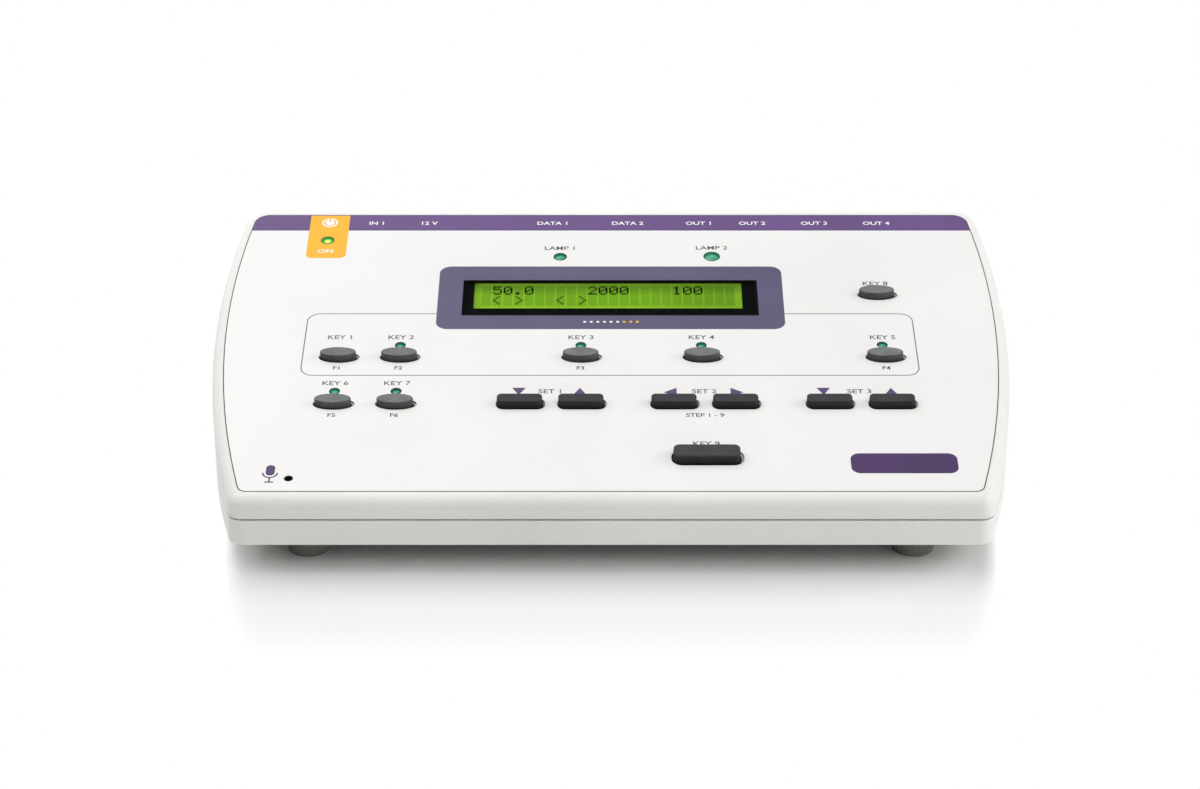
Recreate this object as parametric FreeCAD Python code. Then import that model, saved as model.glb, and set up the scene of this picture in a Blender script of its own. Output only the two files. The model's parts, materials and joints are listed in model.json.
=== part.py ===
import FreeCAD, Part
import math
import os
from FreeCAD import Placement, Rotation, Vector

# Desktop audiometer: a low wedge case with a sloping control panel.
# Millimetres. +X right, +Y to the back, +Z up; the origin is on the table under the case's middle.
# Panel coordinates are (x, s, h): x as above, s up the slope from the sharp front corner line,
# h along the panel's outward normal, with h = 0 on the top shell's sloping face.

# ---- Case ------------------------------------------------------------------------------------
CASE_WIDTH = 270.0
CASE_DEPTH = 163.0
PANEL_SLOPE = 12.3            # degrees
FRONT_CORNER_HEIGHT = 26.7    # table to the sharp corner where panel and front face would meet
SIDE_RADIUS = 370.0           # the sides bow outwards
WIDEST_Y = 20.0               # where the case is widest
FRONT_CORNER_RADIUS = 5.0
BACK_CORNER_RADIUS = 8.0
TOP_EDGE_RADIUS = 3.7
SHELL_WALL = 2.5
INNER_CORNER_RADIUS = 1.5
PARTING_HEIGHT = 19.5
PARTING_GROOVE = 0.6
BELLY_HEIGHT = 10.6           # table to the foot of the straight base wall
BELLY_INSET = 11.0            # the belly draws in by this much before it turns flat
BELLY_EDGE_RADIUS = 0.6
FOOT_HEIGHT = 5.0
FOOT_RADIUS = 7.5
FOOT_TAPER = 0.8
FOOT_FROM_SIDE = 37.0
FOOT_FROM_FRONT = 18.5
FOOT_FROM_BACK = 20.0
TONGUE_THICKNESS = 1.0
TONGUE_HEIGHT = 2.0
TONGUE_CLEARANCE = 0.2

# ---- Overlay and its window --------------------------------------------------------------------
OVERLAY_THICKNESS = 0.5
OVERLAY_RECESS = 0.4
OVERLAY_GAP = 0.2
OVERLAY_SIDE_BORDER = 3.9
OVERLAY_FRONT_S = 4.2
OVERLAY_BACK_S = 161.0
OVERLAY_FRONT_CORNER = 3.0
OVERLAY_BACK_CORNER = 5.5
WINDOW_LEFT = -51.8
WINDOW_RIGHT = 50.3
WINDOW_FRONT_S = 99.7
WINDOW_BACK_S = 120.0
WINDOW_CLEARANCE = 0.05
WINDOW_CORNER = 0.6

# ---- Display module ----------------------------------------------------------------------------
DISPLAY_X = -1.1
DISPLAY_S = 111.5
DISPLAY_BOARD_WIDTH = 118.0
DISPLAY_BOARD_DEPTH = 36.0
DISPLAY_HOLES_X = 111.0
DISPLAY_HOLES_S = 29.0
BEZEL_WIDTH = 104.4
BEZEL_DEPTH = 24.4
BEZEL_HEIGHT = 7.0
BEZEL_SHEET = 0.6
BEZEL_UNDER_OVERLAY = 0.05
VIEW_WIDTH = 92.8
VIEW_DEPTH = 15.8
GLASS_THICKNESS = 2.2
GLASS_CLEARANCE = 0.1
BEZEL_CLEARANCE = 0.3

# ---- Boards ------------------------------------------------------------------------------------
BOARD_THICKNESS = 1.6
MAIN_BOARD_TOP = 16.0
MAIN_BOARD_HALF_WIDTH = 104.0
MAIN_BOARD_FRONT_Y = -38.0
MAIN_BOARD_BACK_GAP = 1.2     # to the rear plate
MAIN_BOARD_HOLE_INSET = 6.0   # from the board's ends to its screw holes
MAIN_BOARD_FRONT_HOLES_Y = -32.0
MAIN_BOARD_BACK_HOLES_Y = 36.0
MAIN_BOARD_NOTCH_GAP = 1.0    # left round what the base moulds in the board's way
KEY_BOARD_H = -8.0            # top of the key board, under the panel
KEY_BOARD_HALF_WIDTH = 104.5
KEY_BOARD_FRONT_S = 14.0
KEY_BOARD_BACK_S = 152.0
KEY_BOARD_CUTOUT_GAP = 1.5
KEY_BOARD_POSTS = [(-50.0, 22.0), (60.0, 22.0), (-50.0, 63.0), (52.0, 63.0), (-98.0, 128.0), (98.0, 135.0)]
POST_RADIUS = 2.4
BOARD_SCREW_RADIUS = 1.25
BOARD_SCREW_HEAD_RADIUS = 2.3
BOARD_SCREW_HEAD = 1.6
BOARD_SCREW_LENGTH = 4.0
SCREW_FIT = 0.03
SCREW_CROSS_REACH = 0.6       # the driver's cross, in shares of the head's radius
SCREW_CROSS_HALF = 0.13
SCREW_CROSS_DEPTH = 0.35
BOARD_HOLE_GAP = 0.25

# ---- Case screws -------------------------------------------------------------------------------
FRONT_SCREW_X = 110.0
FRONT_SCREW_FROM_FRONT = 25.0
BACK_SCREW_X = 116.0
BACK_SCREW_FROM_BACK = 23.5
CASE_SCREW_RADIUS = 1.5
CASE_SCREW_HEAD_RADIUS = 2.8
CASE_SCREW_HEAD = 2.0
CASE_SCREW_LENGTH = 17.0
CASE_SCREW_SEAT = 10.0        # height of the face that the head bears on
SCREW_WELL_RADIUS = 3.6
CASE_POST_RADIUS = 5.2
CASE_POST_TOP = 22.0
SHELL_POST_RADIUS = 4.0
CASE_SCREW_HOLE_GAP = 0.25

# ---- Keys --------------------------------------------------------------------------------------
KEY_TRAVEL = 1.0
KEY_UNDER_SHELL = 0.3
KEY_FLANGE_THICKNESS = 1.6
KEY_FLANGE_MARGIN = 1.2
KEY_EDGE_RADIUS = 0.3
KEY_END_GAP = 0.5             # cap to the end of its hole in the shell
KEY_HOLE_FORWARD = 0.35       # the holes lie this far in front of the caps
KEY_SHEET_SHIFT = 0.3         # the overlay's holes lie this far to the right of the caps
PLUNGER_RADIUS = 2.2
PLUNGER_CLEARANCE = 0.3
MAT_THICKNESS = 1.2
MAT_COLLAR = 1.3
MAT_REACH = 0.1               # the plunger's foot rests this far above the mat
MAT_HALF_WIDTH = 103.0
MAT_FRONT_S = 16.0
MAT_BACK_S = 89.0
MAT_WING_LEFT = 79.0
MAT_WING_BACK_S = 124.0
MAT_POST_CLEARANCE = 1.0
MAT_LAMP_CLEARANCE = 0.6

# Cap length, cap width, overlay hole length, hole width, height over the panel, cap corner, hole corner.
OVAL_KEY = (12.0, 5.0, 13.7, 6.3, 2.4, 0.0, 0.0)
BAR_KEY = (14.9, 4.4, 16.2, 5.9, 2.6, 1.5, 2.6)
WIDE_KEY = (21.5, 6.0, 23.4, 7.8, 3.1, 2.0, 3.4)

KEY_ROW_C = 49.9
KEY_ROW_B = 75.7
KEYS = {
    "menu_key": (OVAL_KEY, -91.7, KEY_ROW_B),
    "pulse_key": (OVAL_KEY, -71.2, KEY_ROW_B),
    "mask_key": (OVAL_KEY, -10.2, KEY_ROW_B),
    "boost_key": (OVAL_KEY, 30.6, KEY_ROW_B),
    "bone_key": (OVAL_KEY, 92.1, KEY_ROW_B),
    "left_key": (OVAL_KEY, -91.6, KEY_ROW_C),
    "right_key": (OVAL_KEY, -71.1, KEY_ROW_C),
    "level_down_key": (BAR_KEY, -30.1, KEY_ROW_C),
    "level_up_key": (BAR_KEY, -9.9, KEY_ROW_C),
    "pitch_down_key": (BAR_KEY, 20.7, KEY_ROW_C),
    "pitch_up_key": (BAR_KEY, 41.0, KEY_ROW_C),
    "masking_down_key": (BAR_KEY, 71.9, KEY_ROW_C),
    "masking_up_key": (BAR_KEY, 92.5, KEY_ROW_C),
    "talk_key": (OVAL_KEY, 91.8, 111.9),
    "tone_key": (WIDE_KEY, 30.8, 21.5),
}

# ---- Lamps: lens radius, hole radius, x, s -------------------------------------------------------
SMALL_LENS = 1.5
SMALL_HOLE = 1.85
LAMPS = {
    "power_lamp": (1.95, 2.4, -100.6, 145.0),
    "tone_lamp": (2.0, 2.4, -17.9, 134.8),
    "response_lamp": (2.5, 2.95, 35.5, 135.0),
    "pulse_lamp": (SMALL_LENS, SMALL_HOLE, -71.2, 82.2),
    "mask_lamp": (SMALL_LENS, SMALL_HOLE, -10.2, 82.2),
    "boost_lamp": (SMALL_LENS, SMALL_HOLE, 30.5, 82.2),
    "bone_lamp": (SMALL_LENS, SMALL_HOLE, 91.7, 82.4),
    "left_lamp": (SMALL_LENS, SMALL_HOLE, -91.5, 56.5),
    "right_lamp": (SMALL_LENS, SMALL_HOLE, -71.1, 56.5),
}
LENS_TOP = -0.15              # the lens ends just under the panel's face
LENS_DOME = 0.5
LAMP_RIM = 0.3
LAMP_RIM_HEIGHT = 1.0

# ---- Microphone --------------------------------------------------------------------------------
MIC_X = -102.7
MIC_S = 10.6
MIC_HOLE_RADIUS = 1.5
MIC_RADIUS = 4.85
MIC_LENGTH = 4.5
MIC_CLEARANCE = 0.1
MIC_RING_WALL = 1.2
MIC_RING_HEIGHT = 3.5

# ---- Rear plate and sockets ----------------------------------------------------------------------
PLATE_THICKNESS = 2.0
PLATE_FIT = 0.05
PLATE_OVERLAP = 2.5
REAR_OPENING_HALF_WIDTH = 112.0
REAR_OPENING_LOW = 14.0
REAR_OPENING_HIGH = 38.0
PLATE_LOW = 12.3
RAIL_WIDTH = 4.0
RAIL_THICKNESS = 2.0
RAIL_LOW = 8.5                # inside the slope of the belly's wall
RAIL_TOP = 20.0
SOCKET_Z = 26.0
HOLE_FIT = 0.1
JACKS = {
    "response_jack": -83.7,
    "insert_jack": 31.5,
    "bone_jack": 50.5,
    "left_jack": 72.7,
    "right_jack": 94.9,
}
JACK_BORE_RADIUS = 3.25       # for a 6.35 mm plug
JACK_BORE_DEPTH = 31.0
JACK_BUSH_RADIUS = 4.75
JACK_BODY_WIDTH = 15.6
JACK_BODY_TOP = 34.5
JACK_END_WALL = 1.35
JACK_BUSH_INSET = 0.2         # the bush ends this far inside the case's back
NUT_THICKNESS = 2.2
NUT_RADIUS = 7.0
NUT_FIT = 0.03
NUT_CHAMFER = 0.5

DC_X = -65.2
DC_Z = 22.5
DC_BODY_WIDTH = 9.0
DC_BODY_DEPTH = 14.0
DC_NOSE_RADIUS = 4.2
DC_BORE_RADIUS = 3.1
DC_BORE_DEPTH = 9.5
DC_PIN_RADIUS = 1.0
DC_PIN_INSET = 0.6
DC_PIN_CHAMFER = 0.33

DATA_X = -20.8
DATA_WIDTH = 12.0
DATA_HEIGHT = 10.9
DATA_DEPTH = 16.0
DATA_MOUTH_WIDTH = 8.6
DATA_MOUTH_HEIGHT = 7.8
DATA_MOUTH_DEPTH = 9.0
DATA_MOUTH_CHAMFER = 1.6
DATA_TONGUE_WIDTH = 5.6
DATA_TONGUE_HEIGHT = 3.2
DATA_TONGUE_INSET = 1.2

SERIAL_X = 5.9
SERIAL_Z = 22.6
SERIAL_BODY_WIDTH = 14.0
SERIAL_BODY_TOP = 29.0
SERIAL_DEPTH = 11.0
SERIAL_NOSE_RADIUS = 6.0
SERIAL_MOUTH_RADIUS = 4.9
SERIAL_MOUTH_DEPTH = 7.0
SERIAL_CORE_RADIUS = 3.9
SERIAL_PIN_RADIUS = 0.55
SERIAL_PIN_CIRCLE = 2.5
SERIAL_PIN_DEPTH = 5.0
SERIAL_PIN_ANGLES = (30, 70, 110, 150, 250, 290)
SERIAL_KEY_WIDTH = 1.6
SERIAL_KEY_HEIGHT = 0.9
SERIAL_KEY_DROP = 0.4
NOSE_PROUD = 0.4              # socket noses stand this far out of the rear plate

# ---- Power rocker ------------------------------------------------------------------------------
ROCKER_X = -100.7
ROCKER_TILT = 10.0            # degrees each way from level
ROCKER_HALF_WIDTH = 5.0
ROCKER_HALF_HEIGHT = 8.0
ROCKER_RISE = 2.2             # ends of the paddle over its axis
ROCKER_VALLEY = 1.2           # middle of the paddle over its axis
ROCKER_DROP = 2.6
ROCKER_AXIS_INSET = 3.9       # axis to the case's back face
ROCKER_PIN_RADIUS = 1.0
ROCKER_PIN_FIT = 0.06
ROCKER_SIDE_GAP = 0.35
ROCKER_END_GAP = 0.7
HOUSING_HALF_WIDTH = 6.3
HOUSING_HALF_HEIGHT = 9.4
HOUSING_DEPTH = 15.0
HOUSING_FLOOR = 9.0
FLANGE_HALF_WIDTH = 7.5
FLANGE_HALF_HEIGHT = 10.5
FLANGE_THICKNESS = 1.8
ROCKER_PIN_END = 0.1

# ---- What stands on the main board: x, y, width, depth, height -------------------------------------
CHIPS = [(-20.0, -8.0, 22.0, 22.0, 2.4), (22.0, -6.0, 12.0, 8.0, 2.0), (44.0, -10.0, 12.0, 8.0, 2.0),
         (-62.0, 8.0, 15.0, 11.0, 9.0), (66.0, 20.0, 18.0, 15.0, 12.0)]
CAPACITORS = [(-70.0, -18.0, 4.0, 9.0), (-56.0, -18.0, 4.0, 9.0), (-80.0, 24.0, 5.0, 12.0)]
RIBBONS = [(-1.1, 27.0, 40.0), (80.0, -16.0, 24.0)]     # x, y, width
RIBBON_THICKNESS = 1.0
RIBBON_SHOE_DEPTH = 5.0
RIBBON_SHOE_HEIGHT = 6.0
RIBBON_GAP = 0.4
RIBBON_SHOE_MARGIN = 1.0      # shoe past the tape at each end

# ---- Drawing aids --------------------------------------------------------------------------------
BIG = 400.0                   # longer than the case, for cutting tools
ROOT = 1.0                    # how far a post or nose runs into what it is moulded with
PAST = 1.0                    # how far a cutting tool runs past the face that it opens
TINY = 1e-4                   # two places closer than this are the same

# ---- Worked out from the values above ---------------------------------------------------------------
FRONT_Y = -CASE_DEPTH / 2
BACK_Y = CASE_DEPTH / 2
INNER_BACK_Y = BACK_Y - SHELL_WALL
SIN_SLOPE = math.sin(math.radians(PANEL_SLOPE))
COS_SLOPE = math.cos(math.radians(PANEL_SLOPE))
BASE_TOP = PARTING_HEIGHT - PARTING_GROOVE / 2
SHELL_BOTTOM = PARTING_HEIGHT + PARTING_GROOVE / 2
BASE_FLOOR = FOOT_HEIGHT + SHELL_WALL
OVERLAY_TOP = OVERLAY_THICKNESS - OVERLAY_RECESS
BEZEL_TOP = -OVERLAY_RECESS - BEZEL_UNDER_OVERLAY
DISPLAY_BOARD_H = BEZEL_TOP - BEZEL_HEIGHT
MAT_TOP = KEY_BOARD_H + MAT_THICKNESS
FLANGE_TOP = -SHELL_WALL - KEY_UNDER_SHELL
FLANGE_UNDER = FLANGE_TOP - KEY_FLANGE_THICKNESS
COLLAR_TOP = FLANGE_UNDER - KEY_TRAVEL - KEY_UNDER_SHELL
MAIN_BOARD_UNDER = MAIN_BOARD_TOP - BOARD_THICKNESS
PLATE_BACK = INNER_BACK_Y - PLATE_FIT
PLATE_FRONT = PLATE_BACK - PLATE_THICKNESS
JACK_MOUTH_Y = BACK_Y - JACK_BUSH_INSET
NOSE_Y = PLATE_BACK + NOSE_PROUD
ROCKER_AXIS_Y = BACK_Y - ROCKER_AXIS_INSET
CASE_SCREWS = [(-FRONT_SCREW_X, FRONT_Y + FRONT_SCREW_FROM_FRONT),
               (FRONT_SCREW_X, FRONT_Y + FRONT_SCREW_FROM_FRONT),
               (-BACK_SCREW_X, BACK_Y - BACK_SCREW_FROM_BACK),
               (BACK_SCREW_X, BACK_Y - BACK_SCREW_FROM_BACK)]
FOOT_X = CASE_WIDTH / 2 - FOOT_FROM_SIDE
FEET = {
    "foot_front_left": (-FOOT_X, FRONT_Y + FOOT_FROM_FRONT),
    "foot_front_right": (FOOT_X, FRONT_Y + FOOT_FROM_FRONT),
    "foot_back_left": (-FOOT_X, BACK_Y - FOOT_FROM_BACK),
    "foot_back_right": (FOOT_X, BACK_Y - FOOT_FROM_BACK),
}
MAIN_BOARD_HOLE_X = MAIN_BOARD_HALF_WIDTH - MAIN_BOARD_HOLE_INSET
MAIN_BOARD_POSTS = [(-MAIN_BOARD_HOLE_X, MAIN_BOARD_FRONT_HOLES_Y), (0.0, MAIN_BOARD_FRONT_HOLES_Y),
                    (MAIN_BOARD_HOLE_X, MAIN_BOARD_FRONT_HOLES_Y),
                    (-MAIN_BOARD_HOLE_X, MAIN_BOARD_BACK_HOLES_Y),
                    (MAIN_BOARD_HOLE_X, MAIN_BOARD_BACK_HOLES_Y)]
DISPLAY_POSTS = [(DISPLAY_X + i * DISPLAY_HOLES_X / 2, DISPLAY_S + j * DISPLAY_HOLES_S / 2)
                 for i in (-1, 1) for j in (-1, 1)]
PANEL_FRAME = Placement(Vector(0, FRONT_Y, FRONT_CORNER_HEIGHT), Rotation(Vector(1, 0, 0), PANEL_SLOPE))


# ---- Helpers -----------------------------------------------------------------------------------
def box(x0, x1, y0, y1, z0, z1):
    return Part.makeBox(x1 - x0, y1 - y0, z1 - z0, Vector(x0, y0, z0))


def rod(x, y, radius, z0, z1):
    return Part.makeCylinder(radius, z1 - z0, Vector(x, y, z0), Vector(0, 0, 1))


def rod_y(x, z, radius, y0, y1):
    return Part.makeCylinder(radius, y1 - y0, Vector(x, y0, z), Vector(0, 1, 0))


def to_panel(shape):
    """Carry a shape drawn in panel coordinates to its place on the case."""
    placed = shape.copy()
    placed.Placement = PANEL_FRAME.multiply(placed.Placement)
    return placed


def joined(shapes):
    whole = shapes[0].fuse(shapes[1:])
    return whole.removeSplitter()


def oval(x, y, length, width, z0, z1):
    disc = Part.Ellipse(Vector(x, y, z0), length / 2, width / 2).toShape()
    return Part.Face(Part.Wire([disc])).extrude(Vector(0, 0, z1 - z0))


def rounded(x, y, length, width, corner, z0, z1):
    block = box(x - length / 2, x + length / 2, y - width / 2, y + width / 2, z0, z1)
    return block.makeFillet(corner, upright_edges(block))


def upright_edges(shape):
    found = []
    for edge in shape.Edges:
        ends = [v.Point for v in edge.Vertexes]
        if len(ends) == 2 and math.hypot(ends[0].x - ends[1].x, ends[0].y - ends[1].y) < TINY:
            found.append(edge)
    return found


def key_outline(kind, x, s, margin, z0, z1, hole_in=None):
    """A key's outline, or that of its hole in the shell or the sheet, grown by margin and given depth."""
    length, width, sheet_hole_length, hole_width, _, corner, hole_corner = kind
    if hole_in:
        width, corner = hole_width, hole_corner
        s -= KEY_HOLE_FORWARD
    if hole_in == "shell":
        length += 2 * KEY_END_GAP
    if hole_in == "sheet":
        length = sheet_hole_length
        x += KEY_SHEET_SHIFT
    if kind is OVAL_KEY:
        return oval(x, s, length + 2 * margin, width + 2 * margin, z0, z1)
    return rounded(x, s, length + 2 * margin, width + 2 * margin, corner + margin, z0, z1)


def case_outline(side, front, back, front_corner, back_corner, z):
    """The case's plan as a wire at height z, drawn in by side, front and back."""
    radius = SIDE_RADIUS - side
    centre_x = CASE_WIDTH / 2 - SIDE_RADIUS
    y0 = FRONT_Y + front
    y1 = BACK_Y - back
    x0 = centre_x + math.sqrt(radius ** 2 - (y0 - WIDEST_Y) ** 2)
    x1 = centre_x + math.sqrt(radius ** 2 - (y1 - WIDEST_Y) ** 2)
    widest = centre_x + radius
    edges = [
        Part.makeLine(Vector(-x0, y0, z), Vector(x0, y0, z)),
        Part.Arc(Vector(x0, y0, z), Vector(widest, WIDEST_Y, z), Vector(x1, y1, z)).toShape(),
        Part.makeLine(Vector(x1, y1, z), Vector(-x1, y1, z)),
        Part.Arc(Vector(-x1, y1, z), Vector(-widest, WIDEST_Y, z), Vector(-x0, y0, z)).toShape(),
    ]
    block = Part.Face(Part.Wire(edges)).extrude(Vector(0, 0, 1))
    fronts = [e for e in upright_edges(block) if e.Vertexes[0].Y < WIDEST_Y]
    block = block.makeFillet(front_corner, fronts)
    backs = [e for e in upright_edges(block) if e.Vertexes[0].Y > y1 - TINY]
    block = block.makeFillet(back_corner, backs)
    flat = [f for f in block.Faces if abs(f.BoundBox.ZMax - z) < TINY]
    return flat[0].OuterWire


def case_prism(inset, z0, z1):
    front_corner = max(FRONT_CORNER_RADIUS - inset, INNER_CORNER_RADIUS)
    back_corner = max(BACK_CORNER_RADIUS - inset, INNER_CORNER_RADIUS)
    wire = case_outline(inset, inset, inset, front_corner, back_corner, z0)
    return Part.Face(wire).extrude(Vector(0, 0, z1 - z0))


def above_panel(h):
    """A block that fills everything over the sloping plane at h."""
    return to_panel(box(-BIG, BIG, -BIG, BIG, h, h + BIG))


def belly(low, high, low_inset, high_inset):
    """The sloping underside of the base, between two outlines of the case."""
    wires = []
    for z, inset in ((low, low_inset), (high, high_inset)):
        front_corner = max(FRONT_CORNER_RADIUS - inset, INNER_CORNER_RADIUS)
        back_corner = max(BACK_CORNER_RADIUS - inset, INNER_CORNER_RADIUS)
        wires.append(case_outline(inset, inset, inset, front_corner, back_corner, z))
    return Part.makeLoft(wires, True, True)


def overlay_prism(gap):
    front = OVERLAY_FRONT_S * COS_SLOPE - gap
    back = CASE_DEPTH - OVERLAY_BACK_S * COS_SLOPE - gap
    wire = case_outline(OVERLAY_SIDE_BORDER - gap, front, back, OVERLAY_FRONT_CORNER + gap,
                        OVERLAY_BACK_CORNER + gap, 0)
    return Part.Face(wire).extrude(Vector(0, 0, BIG))


def slab(h0, h1):
    return to_panel(box(-BIG, BIG, -BIG, BIG, h0, h1))


def panel_cutters(h0, h1, hole_in):
    """Every hole that goes through the shell or the sheet for a key, a lamp or the microphone."""
    tools = [key_outline(kind, x, s, 0, h0, h1, hole_in) for kind, x, s in KEYS.values()]
    tools += [rod(x, s, hole, h0, h1) for _, hole, x, s in LAMPS.values()]
    tools.append(rod(MIC_X, MIC_S, MIC_HOLE_RADIUS, h0, h1))
    return [to_panel(tool) for tool in tools]


def window_block(gap, h0, h1):
    middle_x = (WINDOW_LEFT + WINDOW_RIGHT) / 2
    middle_s = (WINDOW_FRONT_S + WINDOW_BACK_S) / 2
    length = WINDOW_RIGHT - WINDOW_LEFT - 2 * gap
    width = WINDOW_BACK_S - WINDOW_FRONT_S - 2 * gap
    return rounded(middle_x, middle_s, length, width, WINDOW_CORNER, h0, h1)


def display_block(length, width, h0, h1):
    return box(DISPLAY_X - length / 2, DISPLAY_X + length / 2,
               DISPLAY_S - width / 2, DISPLAY_S + width / 2, h0, h1)


# ---- Case pieces -------------------------------------------------------------------------------
def top_shell():
    body = case_prism(0, SHELL_BOTTOM, BIG).cut(above_panel(0))
    rim = []
    for edge in body.Edges:
        heights = [PANEL_FRAME.inverse().multVec(p).z for p in edge.discretize(5)]
        if max(abs(h) for h in heights) < TINY:
            rim.append(edge)
    body = body.makeFillet(TOP_EDGE_RADIUS, rim)
    hollow = case_prism(SHELL_WALL, 0, BIG).cut(above_panel(-SHELL_WALL))
    body = body.cut(hollow)

    posts = []
    for x, y in CASE_SCREWS:
        posts.append(rod(x, y, SHELL_POST_RADIUS, CASE_POST_TOP, BIG).cut(above_panel(-SHELL_WALL / 2)))
    for x, s in KEY_BOARD_POSTS:
        posts.append(to_panel(rod(x, s, POST_RADIUS, KEY_BOARD_H, -SHELL_WALL / 2)))
    for x, s in DISPLAY_POSTS:
        posts.append(to_panel(rod(x, s, POST_RADIUS, DISPLAY_BOARD_H, -SHELL_WALL / 2)))
    ring_radius = MIC_RADIUS + MIC_CLEARANCE + MIC_RING_WALL
    posts.append(to_panel(rod(MIC_X, MIC_S, ring_radius, -SHELL_WALL - MIC_RING_HEIGHT, -SHELL_WALL / 2)))
    body = joined([body] + posts)

    cuts = panel_cutters(-SHELL_WALL - PAST, PAST, "shell")
    cuts.append(overlay_prism(OVERLAY_GAP).common(slab(-OVERLAY_RECESS, BIG / 2)))
    opening_width = BEZEL_WIDTH + 2 * BEZEL_CLEARANCE
    opening_depth = BEZEL_DEPTH + 2 * BEZEL_CLEARANCE
    cuts.append(to_panel(display_block(opening_width, opening_depth, DISPLAY_BOARD_H - PAST, PAST)))
    cuts.append(to_panel(rod(MIC_X, MIC_S, MIC_RADIUS + MIC_CLEARANCE,
                             -SHELL_WALL - MIC_RING_HEIGHT - PAST, -SHELL_WALL)))
    for x, s in KEY_BOARD_POSTS:
        cuts.append(to_panel(rod(x, s, BOARD_SCREW_RADIUS + SCREW_FIT, KEY_BOARD_H - PAST, -SHELL_WALL)))
    for x, s in DISPLAY_POSTS:
        cuts.append(to_panel(rod(x, s, BOARD_SCREW_RADIUS + SCREW_FIT, DISPLAY_BOARD_H - PAST, -SHELL_WALL)))
    screw_end = CASE_SCREW_SEAT + CASE_SCREW_LENGTH + PAST
    for x, y in CASE_SCREWS:
        cuts.append(rod(x, y, CASE_SCREW_RADIUS + SCREW_FIT, CASE_POST_TOP - PAST, screw_end))
    rebate = SHELL_WALL - TONGUE_THICKNESS - TONGUE_CLEARANCE
    cuts.append(case_prism(rebate, 0, BASE_TOP + TONGUE_HEIGHT + TONGUE_CLEARANCE))
    cuts.append(box(-REAR_OPENING_HALF_WIDTH, REAR_OPENING_HALF_WIDTH, INNER_BACK_Y - PAST, BIG,
                    0, REAR_OPENING_HIGH))
    return body.cut(cuts).removeSplitter()


def rail(side, margin):
    """The rib in front of the rear plate on one side, grown by margin."""
    middle = side * (REAR_OPENING_HALF_WIDTH - RAIL_WIDTH / 2)
    half = RAIL_WIDTH / 2 + margin
    back = PLATE_FRONT - PLATE_FIT
    return box(middle - half, middle + half, back - RAIL_THICKNESS - margin, back + margin,
               RAIL_LOW - margin, RAIL_TOP + margin)


def base_shell():
    wall = case_prism(0, BELLY_HEIGHT, BASE_TOP)
    body = joined([wall, belly(FOOT_HEIGHT, BELLY_HEIGHT, BELLY_INSET, 0)])
    edge_loop = []
    for edge in body.Edges:
        if max(abs(edge.BoundBox.ZMax - BELLY_HEIGHT), abs(edge.BoundBox.ZMin - BELLY_HEIGHT)) < TINY:
            edge_loop.append(edge)
    body = body.makeFillet(BELLY_EDGE_RADIUS, edge_loop)
    turn = BELLY_HEIGHT + SHELL_WALL / 2
    hollow = joined([case_prism(SHELL_WALL, turn, BIG),
                     belly(BASE_FLOOR, turn, BELLY_INSET + SHELL_WALL, SHELL_WALL)])
    body = body.cut(hollow)
    tongue = case_prism(SHELL_WALL - TONGUE_THICKNESS, BASE_TOP - ROOT, BASE_TOP + TONGUE_HEIGHT)
    tongue = tongue.cut(case_prism(SHELL_WALL, 0, BIG))

    posts = [tongue]
    for x, y in CASE_SCREWS:
        posts.append(rod(x, y, CASE_POST_RADIUS, BASE_FLOOR - ROOT, CASE_POST_TOP))
    for x, y in MAIN_BOARD_POSTS:
        posts.append(rod(x, y, POST_RADIUS, BASE_FLOOR - ROOT, MAIN_BOARD_UNDER))
    body = joined([body] + posts + [rail(side, 0) for side in (-1, 1)])

    cuts = []
    for x, y in CASE_SCREWS:
        cuts.append(rod(x, y, SCREW_WELL_RADIUS, 0, CASE_SCREW_SEAT))
        cuts.append(rod(x, y, CASE_SCREW_RADIUS + CASE_SCREW_HOLE_GAP, 0, BIG))
    for x, y in MAIN_BOARD_POSTS:
        cuts.append(rod(x, y, BOARD_SCREW_RADIUS + SCREW_FIT, BASE_FLOOR, BIG))
    cuts.append(box(-REAR_OPENING_HALF_WIDTH, REAR_OPENING_HALF_WIDTH, INNER_BACK_Y - PAST, BIG,
                    REAR_OPENING_LOW, BIG))
    return body.cut(cuts).removeSplitter()


def foot(x, y):
    return Part.makeCone(FOOT_RADIUS - FOOT_TAPER, FOOT_RADIUS, FOOT_HEIGHT, Vector(x, y, 0), Vector(0, 0, 1))


def case_screws():
    solids = []
    for x, y in CASE_SCREWS:
        head = rod(x, y, CASE_SCREW_HEAD_RADIUS, CASE_SCREW_SEAT - CASE_SCREW_HEAD, CASE_SCREW_SEAT)
        shank = rod(x, y, CASE_SCREW_RADIUS, CASE_SCREW_SEAT - ROOT, CASE_SCREW_SEAT + CASE_SCREW_LENGTH)
        slot = driver_cross(x, y, CASE_SCREW_SEAT - CASE_SCREW_HEAD, CASE_SCREW_HEAD_RADIUS, 1)
        solids.append(head.fuse(shank).removeSplitter().cut(slot))
    return Part.Compound(solids)


def driver_cross(x, y, face, head_radius, direction):
    """The cross recess of a screw head whose face is at face."""
    reach = head_radius * SCREW_CROSS_REACH
    half = head_radius * SCREW_CROSS_HALF
    ends = sorted((face - direction * PAST, face + direction * head_radius * SCREW_CROSS_DEPTH))
    bars = [box(x - reach, x + reach, y - half, y + half, ends[0], ends[1]),
            box(x - half, x + half, y - reach, y + reach, ends[0], ends[1])]
    return bars[0].fuse(bars[1])


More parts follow.
